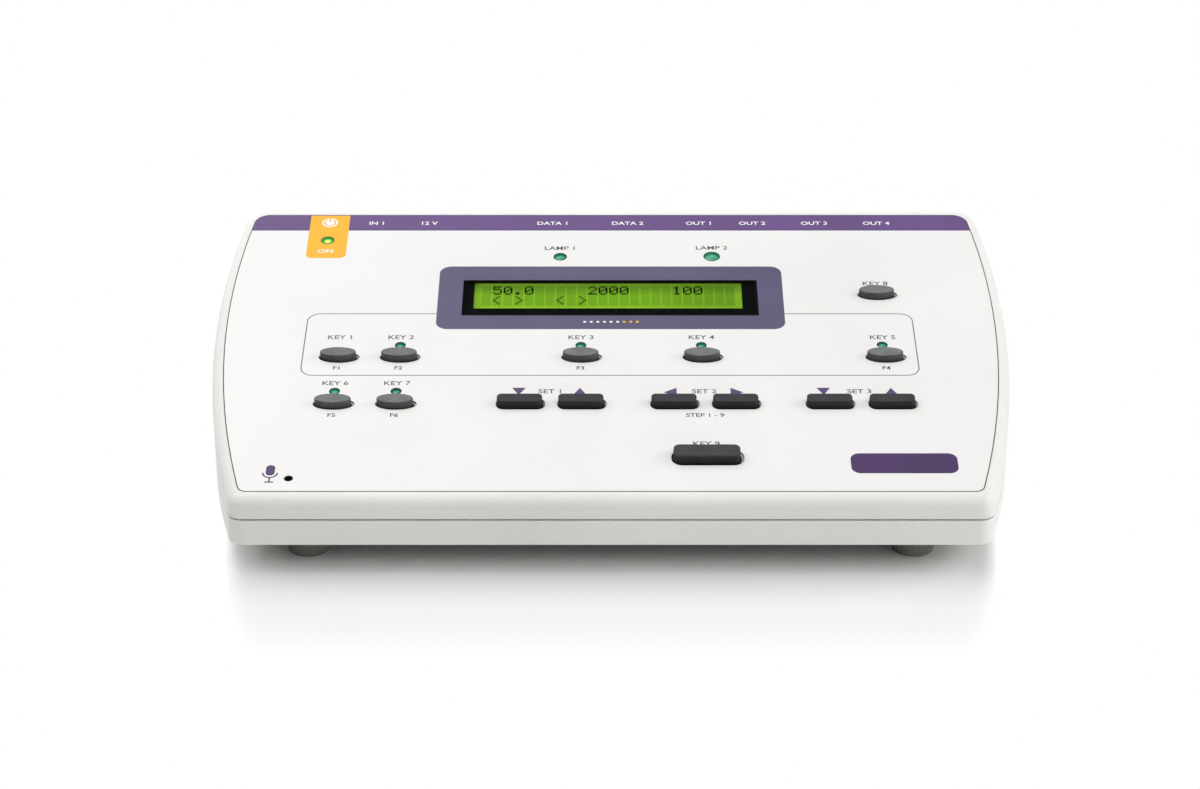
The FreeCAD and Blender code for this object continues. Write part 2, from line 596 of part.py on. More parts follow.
def board_screw(x, y, seat, direction):
    """A short screw with its head on seat and its shank along direction, -1 down or 1 up."""
    head = sorted((seat, seat - direction * BOARD_SCREW_HEAD))
    shank = sorted((seat - direction * ROOT, seat + direction * (BOARD_THICKNESS + BOARD_SCREW_LENGTH)))
    solid = rod(x, y, BOARD_SCREW_HEAD_RADIUS, head[0], head[1])
    solid = solid.fuse(rod(x, y, BOARD_SCREW_RADIUS, shank[0], shank[1])).removeSplitter()
    face = seat - direction * BOARD_SCREW_HEAD
    return solid.cut(driver_cross(x, y, face, BOARD_SCREW_HEAD_RADIUS, direction))


def board_screws():
    solids = [board_screw(x, y, MAIN_BOARD_TOP, -1) for x, y in MAIN_BOARD_POSTS]
    under_keys = KEY_BOARD_H - BOARD_THICKNESS
    under_display = DISPLAY_BOARD_H - BOARD_THICKNESS
    solids += [to_panel(board_screw(x, s, under_keys, 1)) for x, s in KEY_BOARD_POSTS]
    solids += [to_panel(board_screw(x, s, under_display, 1)) for x, s in DISPLAY_POSTS]
    return Part.Compound(solids)


# ---- Panel pieces ------------------------------------------------------------------------------
def panel_overlay():
    sheet = overlay_prism(0).common(slab(-OVERLAY_RECESS, OVERLAY_TOP))
    cuts = panel_cutters(-PAST, PAST, "sheet")
    cuts.append(to_panel(window_block(0, -PAST, PAST)))
    return sheet.cut(cuts)


def display_window():
    return to_panel(window_block(WINDOW_CLEARANCE, -OVERLAY_RECESS, OVERLAY_TOP))


def display_bezel():
    can = display_block(BEZEL_WIDTH, BEZEL_DEPTH, DISPLAY_BOARD_H, BEZEL_TOP)
    inner_width = BEZEL_WIDTH - 2 * BEZEL_SHEET
    inner_depth = BEZEL_DEPTH - 2 * BEZEL_SHEET
    can = can.cut(display_block(inner_width, inner_depth, DISPLAY_BOARD_H - PAST, BEZEL_TOP - BEZEL_SHEET))
    return to_panel(can.cut(display_block(VIEW_WIDTH, VIEW_DEPTH, DISPLAY_BOARD_H - PAST, BEZEL_TOP + PAST)))


def display_filling(h0, h1):
    """A block that fills the bezel between two depths."""
    length = BEZEL_WIDTH - 2 * BEZEL_SHEET - 2 * GLASS_CLEARANCE
    width = BEZEL_DEPTH - 2 * BEZEL_SHEET - 2 * GLASS_CLEARANCE
    return to_panel(display_block(length, width, h0, h1))


def display_glass():
    top = BEZEL_TOP - BEZEL_SHEET
    return display_filling(top - GLASS_THICKNESS, top)


def display_backlight():
    return display_filling(DISPLAY_BOARD_H, BEZEL_TOP - BEZEL_SHEET - GLASS_THICKNESS)


def display_board():
    board = display_block(DISPLAY_BOARD_WIDTH, DISPLAY_BOARD_DEPTH, DISPLAY_BOARD_H - BOARD_THICKNESS,
                          DISPLAY_BOARD_H)
    holes = [rod(x, s, BOARD_SCREW_RADIUS + BOARD_HOLE_GAP, -BIG, BIG) for x, s in DISPLAY_POSTS]
    return to_panel(board.cut(holes))


def key_board():
    under = KEY_BOARD_H - BOARD_THICKNESS
    board = box(-KEY_BOARD_HALF_WIDTH, KEY_BOARD_HALF_WIDTH, KEY_BOARD_FRONT_S, KEY_BOARD_BACK_S,
                under, KEY_BOARD_H)
    cuts = [rod(x, s, BOARD_SCREW_RADIUS + BOARD_HOLE_GAP, -BIG, BIG) for x, s in KEY_BOARD_POSTS]
    cuts.append(display_block(DISPLAY_BOARD_WIDTH + 2 * KEY_BOARD_CUTOUT_GAP,
                              DISPLAY_BOARD_DEPTH + 2 * KEY_BOARD_CUTOUT_GAP, -BIG, BIG))
    return to_panel(board.cut(cuts))


def keypad_mat():
    mat = box(-MAT_HALF_WIDTH, MAT_HALF_WIDTH, MAT_FRONT_S, MAT_BACK_S, KEY_BOARD_H, MAT_TOP)
    wing = box(MAT_WING_LEFT, MAT_HALF_WIDTH, MAT_BACK_S - ROOT, MAT_WING_BACK_S, KEY_BOARD_H, MAT_TOP)
    collar_root = MAT_TOP - MAT_THICKNESS / 2
    collars = [key_outline(kind, x, s, KEY_FLANGE_MARGIN, collar_root, COLLAR_TOP, "shell")
               for kind, x, s in KEYS.values()]
    mat = joined([mat, wing] + collars)
    cuts = []
    for kind, x, s in KEYS.values():
        cuts.append(key_outline(kind, x, s, KEY_FLANGE_MARGIN - MAT_COLLAR, MAT_TOP, BIG, "shell"))
        cuts.append(rod(x, s, PLUNGER_RADIUS + PLUNGER_CLEARANCE, -BIG, BIG))
    cuts += [rod(x, s, lens + LAMP_RIM + MAT_LAMP_CLEARANCE, -BIG, BIG) for lens, _, x, s in LAMPS.values()]
    cuts += [rod(x, s, POST_RADIUS + MAT_POST_CLEARANCE, -BIG, BIG) for x, s in KEY_BOARD_POSTS]
    return to_panel(mat.cut(cuts))


def key(kind, x, s):
    height = kind[4]
    cap = key_outline(kind, x, s, 0, FLANGE_TOP, height)
    crown = [e for e in cap.Edges if e.BoundBox.ZMin > height - TINY]
    cap = cap.makeFillet(KEY_EDGE_RADIUS, crown)
    flange = key_outline(kind, x, s, KEY_FLANGE_MARGIN, FLANGE_UNDER, FLANGE_TOP, "shell")
    plunger = rod(x, s, PLUNGER_RADIUS, MAT_TOP + MAT_REACH, FLANGE_UNDER)
    return to_panel(joined([cap, flange, plunger]))


def lamp(lens, x, s):
    neck = rod(x, s, lens, KEY_BOARD_H, LENS_TOP - LENS_DOME)
    rim = rod(x, s, lens + LAMP_RIM, KEY_BOARD_H, KEY_BOARD_H + LAMP_RIM_HEIGHT)
    ball_radius = (lens ** 2 + LENS_DOME ** 2) / (2 * LENS_DOME)
    ball = Part.makeSphere(ball_radius, Vector(x, s, LENS_TOP - ball_radius))
    dome = ball.common(rod(x, s, lens, LENS_TOP - LENS_DOME - ROOT, LENS_TOP + PAST))
    return to_panel(joined([neck, rim, dome]))


def microphone():
    return to_panel(rod(MIC_X, MIC_S, MIC_RADIUS, -SHELL_WALL - MIC_LENGTH, -SHELL_WALL))


# ---- Boards and what stands on them ---------------------------------------------------------------
def main_board():
    board = box(-MAIN_BOARD_HALF_WIDTH, MAIN_BOARD_HALF_WIDTH, MAIN_BOARD_FRONT_Y,
                PLATE_FRONT - MAIN_BOARD_BACK_GAP, MAIN_BOARD_UNDER, MAIN_BOARD_TOP)
    cuts = [rod(x, y, BOARD_SCREW_RADIUS + BOARD_HOLE_GAP, 0, BIG) for x, y in MAIN_BOARD_POSTS]
    cuts += [rod(x, y, CASE_POST_RADIUS + MAIN_BOARD_NOTCH_GAP, 0, BIG) for x, y in CASE_SCREWS]
    cuts += [rail(side, MAIN_BOARD_NOTCH_GAP) for side in (-1, 1)]
    return board.cut(cuts)


def board_chips():
    solids = []
    for x, y, width, depth, height in CHIPS:
        solids.append(box(x - width / 2, x + width / 2, y - depth / 2, y + depth / 2,
                          MAIN_BOARD_TOP, MAIN_BOARD_TOP + height))
    for x, y, radius, height in CAPACITORS:
        solids.append(rod(x, y, radius, MAIN_BOARD_TOP, MAIN_BOARD_TOP + height))
    return Part.Compound(solids)


def board_ribbons():
    """Flat cables from the main board up to the display board and the key board."""
    solids = []
    ceilings = (DISPLAY_BOARD_H - BOARD_THICKNESS, KEY_BOARD_H - BOARD_THICKNESS)
    thin = RIBBON_THICKNESS / 2
    deep = RIBBON_SHOE_DEPTH / 2
    for (x, y, width), under in zip(RIBBONS, ceilings):
        shoe = box(x - width / 2, x + width / 2, y - deep, y + deep,
                   MAIN_BOARD_TOP, MAIN_BOARD_TOP + RIBBON_SHOE_HEIGHT)
        half = width / 2 - RIBBON_SHOE_MARGIN
        tape = box(x - half, x + half, y - thin, y + thin, MAIN_BOARD_TOP, BIG)
        solids.append(joined([shoe, tape.cut(above_panel(under - RIBBON_GAP))]))
    return Part.Compound(solids)


# ---- Rear plate and sockets -------------------------------------------------------------------------
def rear_plate():
    half = REAR_OPENING_HALF_WIDTH + PLATE_OVERLAP
    plate = box(-half, half, PLATE_FRONT, PLATE_BACK, PLATE_LOW, REAR_OPENING_HIGH + PLATE_OVERLAP)
    cuts = [rod_y(x, SOCKET_Z, JACK_BUSH_RADIUS + HOLE_FIT, 0, BIG) for x in JACKS.values()]
    cuts.append(rod_y(DC_X, DC_Z, DC_NOSE_RADIUS + HOLE_FIT, 0, BIG))
    cuts.append(rod_y(SERIAL_X, SERIAL_Z, SERIAL_NOSE_RADIUS + HOLE_FIT, 0, BIG))
    cuts.append(box(DATA_X - DATA_WIDTH / 2 - HOLE_FIT, DATA_X + DATA_WIDTH / 2 + HOLE_FIT, 0, BIG,
                    MAIN_BOARD_TOP - HOLE_FIT, MAIN_BOARD_TOP + DATA_HEIGHT + HOLE_FIT))
    half_width = HOUSING_HALF_WIDTH + HOLE_FIT
    half_height = HOUSING_HALF_HEIGHT + HOLE_FIT
    cuts.append(box(ROCKER_X - half_width, ROCKER_X + half_width, 0, BIG,
                    SOCKET_Z - half_height, SOCKET_Z + half_height))
    return plate.cut(cuts)


def jack(x):
    end = JACK_MOUTH_Y - JACK_BORE_DEPTH - JACK_END_WALL
    body = box(x - JACK_BODY_WIDTH / 2, x + JACK_BODY_WIDTH / 2, end, PLATE_FRONT,
               MAIN_BOARD_TOP, JACK_BODY_TOP)
    bush = rod_y(x, SOCKET_Z, JACK_BUSH_RADIUS, PLATE_FRONT - ROOT, JACK_MOUTH_Y)
    bore = rod_y(x, SOCKET_Z, JACK_BORE_RADIUS, JACK_MOUTH_Y - JACK_BORE_DEPTH, BIG)
    return body.fuse(bush).removeSplitter().cut(bore)


def jack_nuts():
    solids = []
    for x in JACKS.values():
        nut = rod_y(x, SOCKET_Z, NUT_RADIUS, PLATE_BACK, PLATE_BACK + NUT_THICKNESS)
        outer = [e for e in nut.Edges if e.BoundBox.YMin > PLATE_BACK + NUT_THICKNESS - TINY]
        nut = nut.makeChamfer(NUT_CHAMFER, outer)
        solids.append(nut.cut(rod_y(x, SOCKET_Z, JACK_BUSH_RADIUS + NUT_FIT, 0, BIG)))
    return Part.Compound(solids)


def dc_inlet():
    low = PLATE_FRONT - DC_BODY_DEPTH
    body = box(DC_X - DC_BODY_WIDTH / 2, DC_X + DC_BODY_WIDTH / 2, low, PLATE_FRONT,
               MAIN_BOARD_TOP, DC_Z + DC_BODY_WIDTH / 2)
    nose = rod_y(DC_X, DC_Z, DC_NOSE_RADIUS, PLATE_FRONT - ROOT, NOSE_Y)
    bore = rod_y(DC_X, DC_Z, DC_BORE_RADIUS, NOSE_Y - DC_BORE_DEPTH, BIG)
    return body.fuse(nose).removeSplitter().cut(bore)


def dc_pin():
    tip = NOSE_Y - DC_PIN_INSET
    pin = rod_y(DC_X, DC_Z, DC_PIN_RADIUS, NOSE_Y - DC_BORE_DEPTH, tip)
    end = [e for e in pin.Edges if e.BoundBox.YMin > tip - TINY]
    return pin.makeChamfer(DC_PIN_CHAMFER, end)


def data_socket():
    low = MAIN_BOARD_TOP
    middle = low + DATA_HEIGHT / 2
    half = DATA_WIDTH / 2
    mouth_half = DATA_MOUTH_WIDTH / 2
    shell = box(DATA_X - half, DATA_X + half, NOSE_Y - DATA_DEPTH, NOSE_Y, low, low + DATA_HEIGHT)
    mouth = box(DATA_X - mouth_half, DATA_X + mouth_half, NOSE_Y - DATA_MOUTH_DEPTH, NOSE_Y + PAST,
                middle - DATA_MOUTH_HEIGHT / 2, middle + DATA_MOUTH_HEIGHT / 2)
    crown = [e for e in mouth.Edges
             if e.BoundBox.YLength > DATA_MOUTH_DEPTH and e.BoundBox.ZMin > middle]
    return shell.cut(mouth.makeChamfer(DATA_MOUTH_CHAMFER, crown))


def data_tongue():
    middle = MAIN_BOARD_TOP + DATA_HEIGHT / 2
    return box(DATA_X - DATA_TONGUE_WIDTH / 2, DATA_X + DATA_TONGUE_WIDTH / 2,
               NOSE_Y - DATA_MOUTH_DEPTH, NOSE_Y - DATA_TONGUE_INSET,
               middle - DATA_TONGUE_HEIGHT / 2, middle + DATA_TONGUE_HEIGHT / 2)


def serial_socket():
    half = SERIAL_BODY_WIDTH / 2
    body = box(SERIAL_X - half, SERIAL_X + half, PLATE_FRONT - SERIAL_DEPTH, PLATE_FRONT,
               MAIN_BOARD_TOP, SERIAL_BODY_TOP)
    nose = rod_y(SERIAL_X, SERIAL_Z, SERIAL_NOSE_RADIUS, PLATE_FRONT - ROOT, NOSE_Y)
    mouth = rod_y(SERIAL_X, SERIAL_Z, SERIAL_MOUTH_RADIUS, NOSE_Y - SERIAL_MOUTH_DEPTH, BIG)
    return body.fuse(nose).removeSplitter().cut(mouth)


def serial_core():
    core = rod_y(SERIAL_X, SERIAL_Z, SERIAL_CORE_RADIUS, NOSE_Y - SERIAL_MOUTH_DEPTH, NOSE_Y)
    cuts = []
    for turn in SERIAL_PIN_ANGLES:
        x = SERIAL_X + SERIAL_PIN_CIRCLE * math.cos(math.radians(turn))
        z = SERIAL_Z + SERIAL_PIN_CIRCLE * math.sin(math.radians(turn))
        cuts.append(rod_y(x, z, SERIAL_PIN_RADIUS, NOSE_Y - SERIAL_PIN_DEPTH, BIG))
    key_top = SERIAL_Z - SERIAL_KEY_DROP
    cuts.append(box(SERIAL_X - SERIAL_KEY_WIDTH / 2, SERIAL_X + SERIAL_KEY_WIDTH / 2,
                    NOSE_Y - SERIAL_PIN_DEPTH, BIG, key_top - SERIAL_KEY_HEIGHT, key_top))
    return core.cut(cuts)


# ---- Power rocker ----------------------------------------------------------------------------------
def rocker_housing():
    front = PLATE_BACK - HOUSING_DEPTH
    face = PLATE_BACK + FLANGE_THICKNESS
    body = box(ROCKER_X - HOUSING_HALF_WIDTH, ROCKER_X + HOUSING_HALF_WIDTH, front, face,
               SOCKET_Z - HOUSING_HALF_HEIGHT, SOCKET_Z + HOUSING_HALF_HEIGHT)
    flange = box(ROCKER_X - FLANGE_HALF_WIDTH, ROCKER_X + FLANGE_HALF_WIDTH, PLATE_BACK, face,
                 SOCKET_Z - FLANGE_HALF_HEIGHT, SOCKET_Z + FLANGE_HALF_HEIGHT)
    half_width = ROCKER_HALF_WIDTH + ROCKER_SIDE_GAP
    half_height = ROCKER_HALF_HEIGHT + ROCKER_END_GAP
    well = box(ROCKER_X - half_width, ROCKER_X + half_width, face - HOUSING_FLOOR, face + PAST,
               SOCKET_Z - half_height, SOCKET_Z + half_height)
    pivot = Part.makeCylinder(ROCKER_PIN_RADIUS + ROCKER_PIN_FIT, 2 * HOUSING_HALF_WIDTH,
                              Vector(ROCKER_X - HOUSING_HALF_WIDTH, ROCKER_AXIS_Y, SOCKET_Z), Vector(1, 0, 0))
    return joined([body, flange]).cut([well, pivot])


def power_rocker():
    """The paddle, drawn level about its axis and then tipped so that its upper end is pressed."""
    profile = [(-ROCKER_DROP, -ROCKER_HALF_HEIGHT), (ROCKER_RISE, -ROCKER_HALF_HEIGHT), (ROCKER_VALLEY, 0),
               (ROCKER_RISE, ROCKER_HALF_HEIGHT), (-ROCKER_DROP, ROCKER_HALF_HEIGHT)]
    points = [Vector(-ROCKER_HALF_WIDTH, y, z) for y, z in profile]
    paddle = Part.Face(Part.makePolygon(points + points[:1])).extrude(Vector(2 * ROCKER_HALF_WIDTH, 0, 0))
    reach = HOUSING_HALF_WIDTH - ROCKER_PIN_END
    pin = Part.makeCylinder(ROCKER_PIN_RADIUS, 2 * reach, Vector(-reach, 0, 0), Vector(1, 0, 0))
    rocker = joined([paddle, pin])
    rocker.Placement = Placement(Vector(ROCKER_X, ROCKER_AXIS_Y, SOCKET_Z),
                                 Rotation(Vector(1, 0, 0), ROCKER_TILT))
    return rocker


# ---- Everything, one node a file --------------------------------------------------------------------
def pieces():
    made = {
        "top_shell": top_shell(),
        "base_shell": base_shell(),
        "case_screws": case_screws(),
        "board_screws": board_screws(),
        "panel_overlay": panel_overlay(),
        "display_window": display_window(),
        "display_bezel": display_bezel(),
        "display_glass": display_glass(),
        "display_backlight": display_backlight(),
        "display_board": display_board(),
        "key_board": key_board(),
        "keypad_mat": keypad_mat(),
        "microphone": microphone(),
        "main_board": main_board(),
        "board_chips": board_chips(),
        "board_ribbons": board_ribbons(),
        "rear_plate": rear_plate(),
        "jack_nuts": jack_nuts(),
        "dc_inlet": dc_inlet(),
        "dc_pin": dc_pin(),
        "data_socket": data_socket(),
        "data_tongue": data_tongue(),
        "serial_socket": serial_socket(),
        "serial_core": serial_core(),
        "rocker_housing": rocker_housing(),
        "power_rocker": power_rocker(),
    }
    for name, (x, y) in FEET.items():
        made[name] = foot(x, y)
    for name, (kind, x, s) in KEYS.items():
        made[name] = key(kind, x, s)
    for name, (lens, _, x, s) in LAMPS.items():
        made[name] = lamp(lens, x, s)
    for name, x in JACKS.items():
        made[name] = jack(x)
    return made


os.makedirs("parts", exist_ok=True)
for node, shape in pieces().items():
    shape.exportStep("parts/" + node + ".step")
    print(node, len(shape.Solids), "solid(s)", round(shape.Volume, 1), "mm3", shape.isValid())
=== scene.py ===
import bmesh
import bpy
import json
import math
from mathutils import Matrix, Vector


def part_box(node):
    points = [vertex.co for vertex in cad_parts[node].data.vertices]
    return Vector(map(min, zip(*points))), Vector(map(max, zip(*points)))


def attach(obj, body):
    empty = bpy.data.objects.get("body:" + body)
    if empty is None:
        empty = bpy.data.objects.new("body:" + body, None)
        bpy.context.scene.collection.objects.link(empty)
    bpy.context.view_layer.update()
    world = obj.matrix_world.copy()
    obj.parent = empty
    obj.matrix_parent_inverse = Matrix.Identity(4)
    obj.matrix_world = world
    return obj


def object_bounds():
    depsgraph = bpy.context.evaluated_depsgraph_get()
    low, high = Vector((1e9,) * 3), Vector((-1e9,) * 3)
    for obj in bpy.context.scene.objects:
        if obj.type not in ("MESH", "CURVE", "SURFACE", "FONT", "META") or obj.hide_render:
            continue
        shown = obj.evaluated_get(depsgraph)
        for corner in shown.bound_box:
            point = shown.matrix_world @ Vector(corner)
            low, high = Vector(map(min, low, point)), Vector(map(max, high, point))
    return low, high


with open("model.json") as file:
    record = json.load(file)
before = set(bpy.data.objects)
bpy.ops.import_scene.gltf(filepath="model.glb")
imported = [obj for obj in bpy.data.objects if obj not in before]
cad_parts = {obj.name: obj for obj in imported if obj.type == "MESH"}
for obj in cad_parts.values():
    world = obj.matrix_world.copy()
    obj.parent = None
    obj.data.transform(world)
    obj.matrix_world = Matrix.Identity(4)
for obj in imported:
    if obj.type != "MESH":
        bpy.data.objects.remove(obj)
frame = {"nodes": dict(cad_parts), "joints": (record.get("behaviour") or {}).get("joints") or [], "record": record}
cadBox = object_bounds()
nodes = frame["nodes"]
print("frame:", len(nodes), "CAD nodes")

mm = 0.001


# The panel's own frame, in mm: x to the right, s up the slope from the case's front, and h out of the
# overlay's face.
outOfPanel = -Vector(next(j["axis"] for j in frame["joints"] if j["name"] == "tone_press"))
upSlope = Vector((0, outOfPanel.z, -outOfPanel.y))
overlayFace = max(v.co.dot(outOfPanel) for v in nodes["panel_overlay"].data.vertices)
frontY = cadBox[0].y
panelCorner = Vector((0, frontY, (overlayFace - frontY * outOfPanel.y) / outOfPanel.z))
panelPlace = Matrix(((mm, 0, 0, 0),
                     (0, upSlope.y * mm, outOfPanel.y * mm, panelCorner.y),
                     (0, upSlope.z * mm, outOfPanel.z * mm, panelCorner.z),
                     (0, 0, 0, 1)))
toPanel = panelPlace.inverted()

# The rear plate's frame: x to the right of someone behind the case, y up, z out of the plate.
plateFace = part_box("rear_plate")[1].y
rearPlace = Matrix(((-mm, 0, 0, 0), (0, 0, mm, plateFace), (0, mm, 0, 0), (0, 0, 0, 1)))


def panelBox(node):
    # lowest and highest x, s and h of a node
    points = [toPanel @ v.co for v in nodes[node].data.vertices]
    low = Vector(min(p[i] for p in points) for i in range(3))
    high = Vector(max(p[i] for p in points) for i in range(3))
    return low, high


def panelMiddle(node):
    low, high = panelBox(node)
    return (low + high) / 2


# small helpers for materials

def srgb(code):
    channels = [int(code[i:i + 2], 16) / 255 for i in (0, 2, 4)]
    linear = [c / 12.92 if c <= 0.04045 else ((c + 0.055) / 1.055) ** 2.4 for c in channels]
    return (*linear, 1.0)


def addNode(tree, kind, settings=None, links=None):
    # a socket goes by name or place; a Mix node takes its colours at 6 and 7 and gives the mixed one at 2
    node = tree.nodes.new("ShaderNode" + kind)
    for name, value in (settings or {}).items():
        if isinstance(name, int) or name in node.inputs:
            node.inputs[name].default_value = value
        else:
            setattr(node, name, value)
    for name, source in (links or {}).items():
        tree.links.new(source, node.inputs[name])
    return node


def startMaterial(name, shaderSockets=None):
    material = bpy.data.materials.new(name)
    material.use_nodes = True
    tree = material.node_tree
    tree.nodes.clear()
    shader = addNode(tree, "BsdfPrincipled", shaderSockets)
    addNode(tree, "OutputMaterial", links={"Surface": shader.outputs[0]})
    return material, tree, shader


noise = {"detail": 2.0, "low": 0.7, "high": 1.3}      # the sum of the two noises stays from low to high


def addGrain(tree, shader, look):
    # a fine and a broad noise give the tone and roughness, and the fine one the bump; sizes are in mm
    place = addNode(tree, "TexCoord").outputs["Object"]
    stretch = look.get("stretch", (1, 1, 1))      # more than 1 shortens the grain that way
    mapped = addNode(tree, "Mapping", {"Scale": stretch}, {"Vector": place}).outputs[0]
    fine, broad = (addNode(tree, "TexNoise", {"Scale": 1 / (look[size] * mm), "Detail": noise["detail"]},
                           {"Vector": spot}).outputs[0] for size, spot in (("grain", mapped), ("patch", place)))
    both = addNode(tree, "Math", {"operation": "ADD"}, {0: fine, 1: broad}).outputs[0]
    share = addNode(tree, "MapRange", {"From Min": noise["low"], "From Max": noise["high"]},
                    {"Value": both}).outputs[0]
    tone = addNode(tree, "Mix", {"data_type": "RGBA", 6: srgb(look["dark"]), 7: srgb(look["light"])},
                   {0: share}).outputs[2]
    rough = addNode(tree, "MapRange", {"To Min": look["rough"][0], "To Max": look["rough"][1]},
                    {"Value": share}).outputs[0]
    bump = addNode(tree, "Bump", {"Distance": look["depth"] * mm}, {"Height": fine}).outputs[0]
    for name, source in (("Base Color", tone), ("Roughness", rough), ("Normal", bump)):
        tree.links.new(source, shader.inputs[name])
    return {"place": place, "share": share, "tone": tone}


def finish(name, look, sockets=None):
    material, tree, shader = startMaterial(name, sockets)
    addGrain(tree, shader, look)
    return material


# what the materials are

# ABS moulded in a spark-eroded tool: an even dry white with a fine grain, no mirror-like gloss. Painted shade
# darkens the tongue that shows in the gap between the shells, in mm over the table.
grooveShade = {"low": 19.31, "high": 19.69, "colour": "1C1C1A"}


def caseAbs():
    material, tree, shader = startMaterial("mouldedAbs")
    grain = addGrain(tree, shader, {"dark": "E9E8E4", "light": "F1F0EC", "rough": (0.42, 0.52),
                                    "grain": 0.6, "patch": 45, "depth": 0.012})
    height = addNode(tree, "SeparateXYZ", links={0: grain["place"]}).outputs[2]
    # painted shade: the colour darkens inside this band of height, in the gap between the shells
    over = addNode(tree, "Math", {"operation": "GREATER_THAN", 1: grooveShade["low"] * mm}, {0: height}).outputs[0]
    under = addNode(tree, "Math", {"operation": "LESS_THAN", 1: grooveShade["high"] * mm}, {0: height}).outputs[0]
    inside = addNode(tree, "Math", {"operation": "MULTIPLY"}, {0: over, 1: under}).outputs[0]
    shade = addNode(tree, "Mix", {"data_type": "RGBA", 7: srgb(grooveShade["colour"])},
                    {0: inside, 6: grain["tone"]})
    tree.links.new(shade.outputs[2], shader.inputs["Base Color"])
    return material


mouldedAbs = caseAbs()
# polycarbonate sheet with a velvet face: a little smoother and cooler than the moulding round it
velvetPolycarbonate = finish("velvetPolycarbonate", {"dark": "EEEDEB", "light": "F4F3F1",
                                                     "rough": (0.36, 0.44), "grain": 0.5, "patch": 60,
                                                     "depth": 0.006})


def screenInk(name, dark, light):
    # screen-printed ink under the sheet's velvet: flat colour, the sheet's own sheen
    return finish(name, {"dark": dark, "light": light, "rough": (0.36, 0.44), "grain": 0.5, "patch": 30,
                         "depth": 0.005}, {"Specular IOR Level": 0.38})


violetInk = screenInk("violetInk", "5C4076", "69498A")
slateInk = screenInk("slateInk", "4F4A6B", "595375")
amberInk = screenInk("amberInk", "F5B412", "FABD1E")
whiteInk = screenInk("whiteInk", "F4F2F0", "FCFBFA")
greyInk = screenInk("greyInk", "47474B", "515155")
blackInk = screenInk("blackInk", "242426", "2E2E30")
mauveInk = screenInk("mauveInk", "6E6870", "7A747C")
deepVioletInk = screenInk("deepVioletInk", "3F2457", "4A2C64")
plumInk = screenInk("plumInk", "52386A", "5F427E")
# dense black ink, two passes, dull enough to hide the display's edge
denseInk = finish("denseInk", {"dark": "050506", "light": "0B0B0D", "rough": (0.5, 0.6),
                               "grain": 0.5, "patch": 10, "depth": 0.002}, {"Specular IOR Level": 0.03})


# tops of the keys, in mm over the overlay: painted light and sheen make them paler than their sides
crownLight = {"blur": 0.25,
          "greySilicone": {"side": ("494B4C", "5C5E60"), "crown": ("7C7D7D", "979896"), "top": 2.4},
          "blackSilicone": {"side": ("29292B", "333336"), "crown": ("3C3C3F", "4B4B4E"), "top": 2.6}}


def keySilicone(name):
    # silicone rubber, moulded matt: dusty specks, and painted light and sheen across the crown
    look = crownLight[name]
    material, tree, shader = startMaterial(name, {"Specular IOR Level": 0.2})
    grain = addGrain(tree, shader, {"dark": look["side"][0], "light": look["side"][1], "rough": (0.68, 0.84),
                                    "grain": 0.45, "patch": 4, "depth": 0.02})
    height = addNode(tree, "VectorMath", {"operation": "DOT_PRODUCT", 1: outOfPanel},
                     {0: grain["place"]}).outputs["Value"]
    top = panelCorner.dot(outOfPanel) + look["top"] * mm
    # painted light: from this height up, the crown is mixed to a paler colour
    litShare = addNode(tree, "MapRange", {"From Min": top - crownLight["blur"] * mm, "From Max": top},
                   {"Value": height})
    litTone = addNode(tree, "Mix", {"data_type": "RGBA", 6: srgb(look["crown"][0]), 7: srgb(look["crown"][1])},
                    {0: grain["share"]})
    mixed = addNode(tree, "Mix", {"data_type": "RGBA"},
                    {0: litShare.outputs[0], 6: grain["tone"], 7: litTone.outputs[2]})
    tree.links.new(mixed.outputs[2], shader.inputs["Base Color"])
    return material


greySilicone = keySilicone("greySilicone")
blackSilicone = keySilicone("blackSilicone")
# the same rubber where no finger comes: smoother on the mat, and near black as painted shade in the keys' holes
matSilicone = finish("matSilicone", {"dark": "3E4041", "light": "484A4B", "rough": (0.6, 0.75),
                                     "grain": 0.5, "patch": 8, "depth": 0.01})
holeShadeSilicone = finish("holeShadeSilicone", {"dark": "141415", "light": "1E1E20", "rough": (0.7, 0.85),
                                     "grain": 0.5, "patch": 4, "depth": 0.01}, {"Specular IOR Level": 0.2})
# nitrile foot: matt black-grey with dust in its grain
footRubber = finish("footRubber", {"dark": "666662", "light": "787874", "rough": (0.75, 0.9),
                                   "grain": 0.5, "patch": 3, "depth": 0.03})
# satin black enamel on the display's sheet-steel can
blackEnamel = finish("blackEnamel", {"dark": "040506", "light": "08090B", "rough": (0.5, 0.6),
                                     "grain": 0.6, "patch": 12, "depth": 0.004}, {"Specular IOR Level": 0.01})
# glass-filled nylon, as sockets are made of: black, slightly mottled
blackNylon = finish("blackNylon", {"dark": "151516", "light": "202022", "rough": (0.4, 0.55),
                                   "grain": 0.4, "patch": 3, "depth": 0.008})
# polished phenolic rocker
glossNylon = finish("glossNylon", {"dark": "0F0F11", "light": "17171A", "rough": (0.16, 0.26),
                                   "grain": 0.8, "patch": 5, "depth": 0.002})
# dull near-black, dusty: painted shade in the gap round the sheet and round the lamps, and felt on the microphone
gapShadeAcrylic = finish("gapShadeAcrylic", {"dark": "2A2825", "light": "3A3733", "rough": (0.7, 0.85),
                                     "grain": 0.5, "patch": 9, "depth": 0.005})
blackFeltAndShade = finish("blackFeltAndShade", {"dark": "121210", "light": "22221E", "rough": (0.85, 0.95),
                                 "grain": 0.25, "patch": 1, "depth": 0.03}, {"Specular IOR Level": 0.2})
# ABS rear plate, satin and a shade greyer than the case
plateAbs = finish("plateAbs", {"dark": "DEDEDC", "light": "E6E6E4", "rough": (0.4, 0.5),
                               "grain": 0.5, "patch": 25, "depth": 0.01})
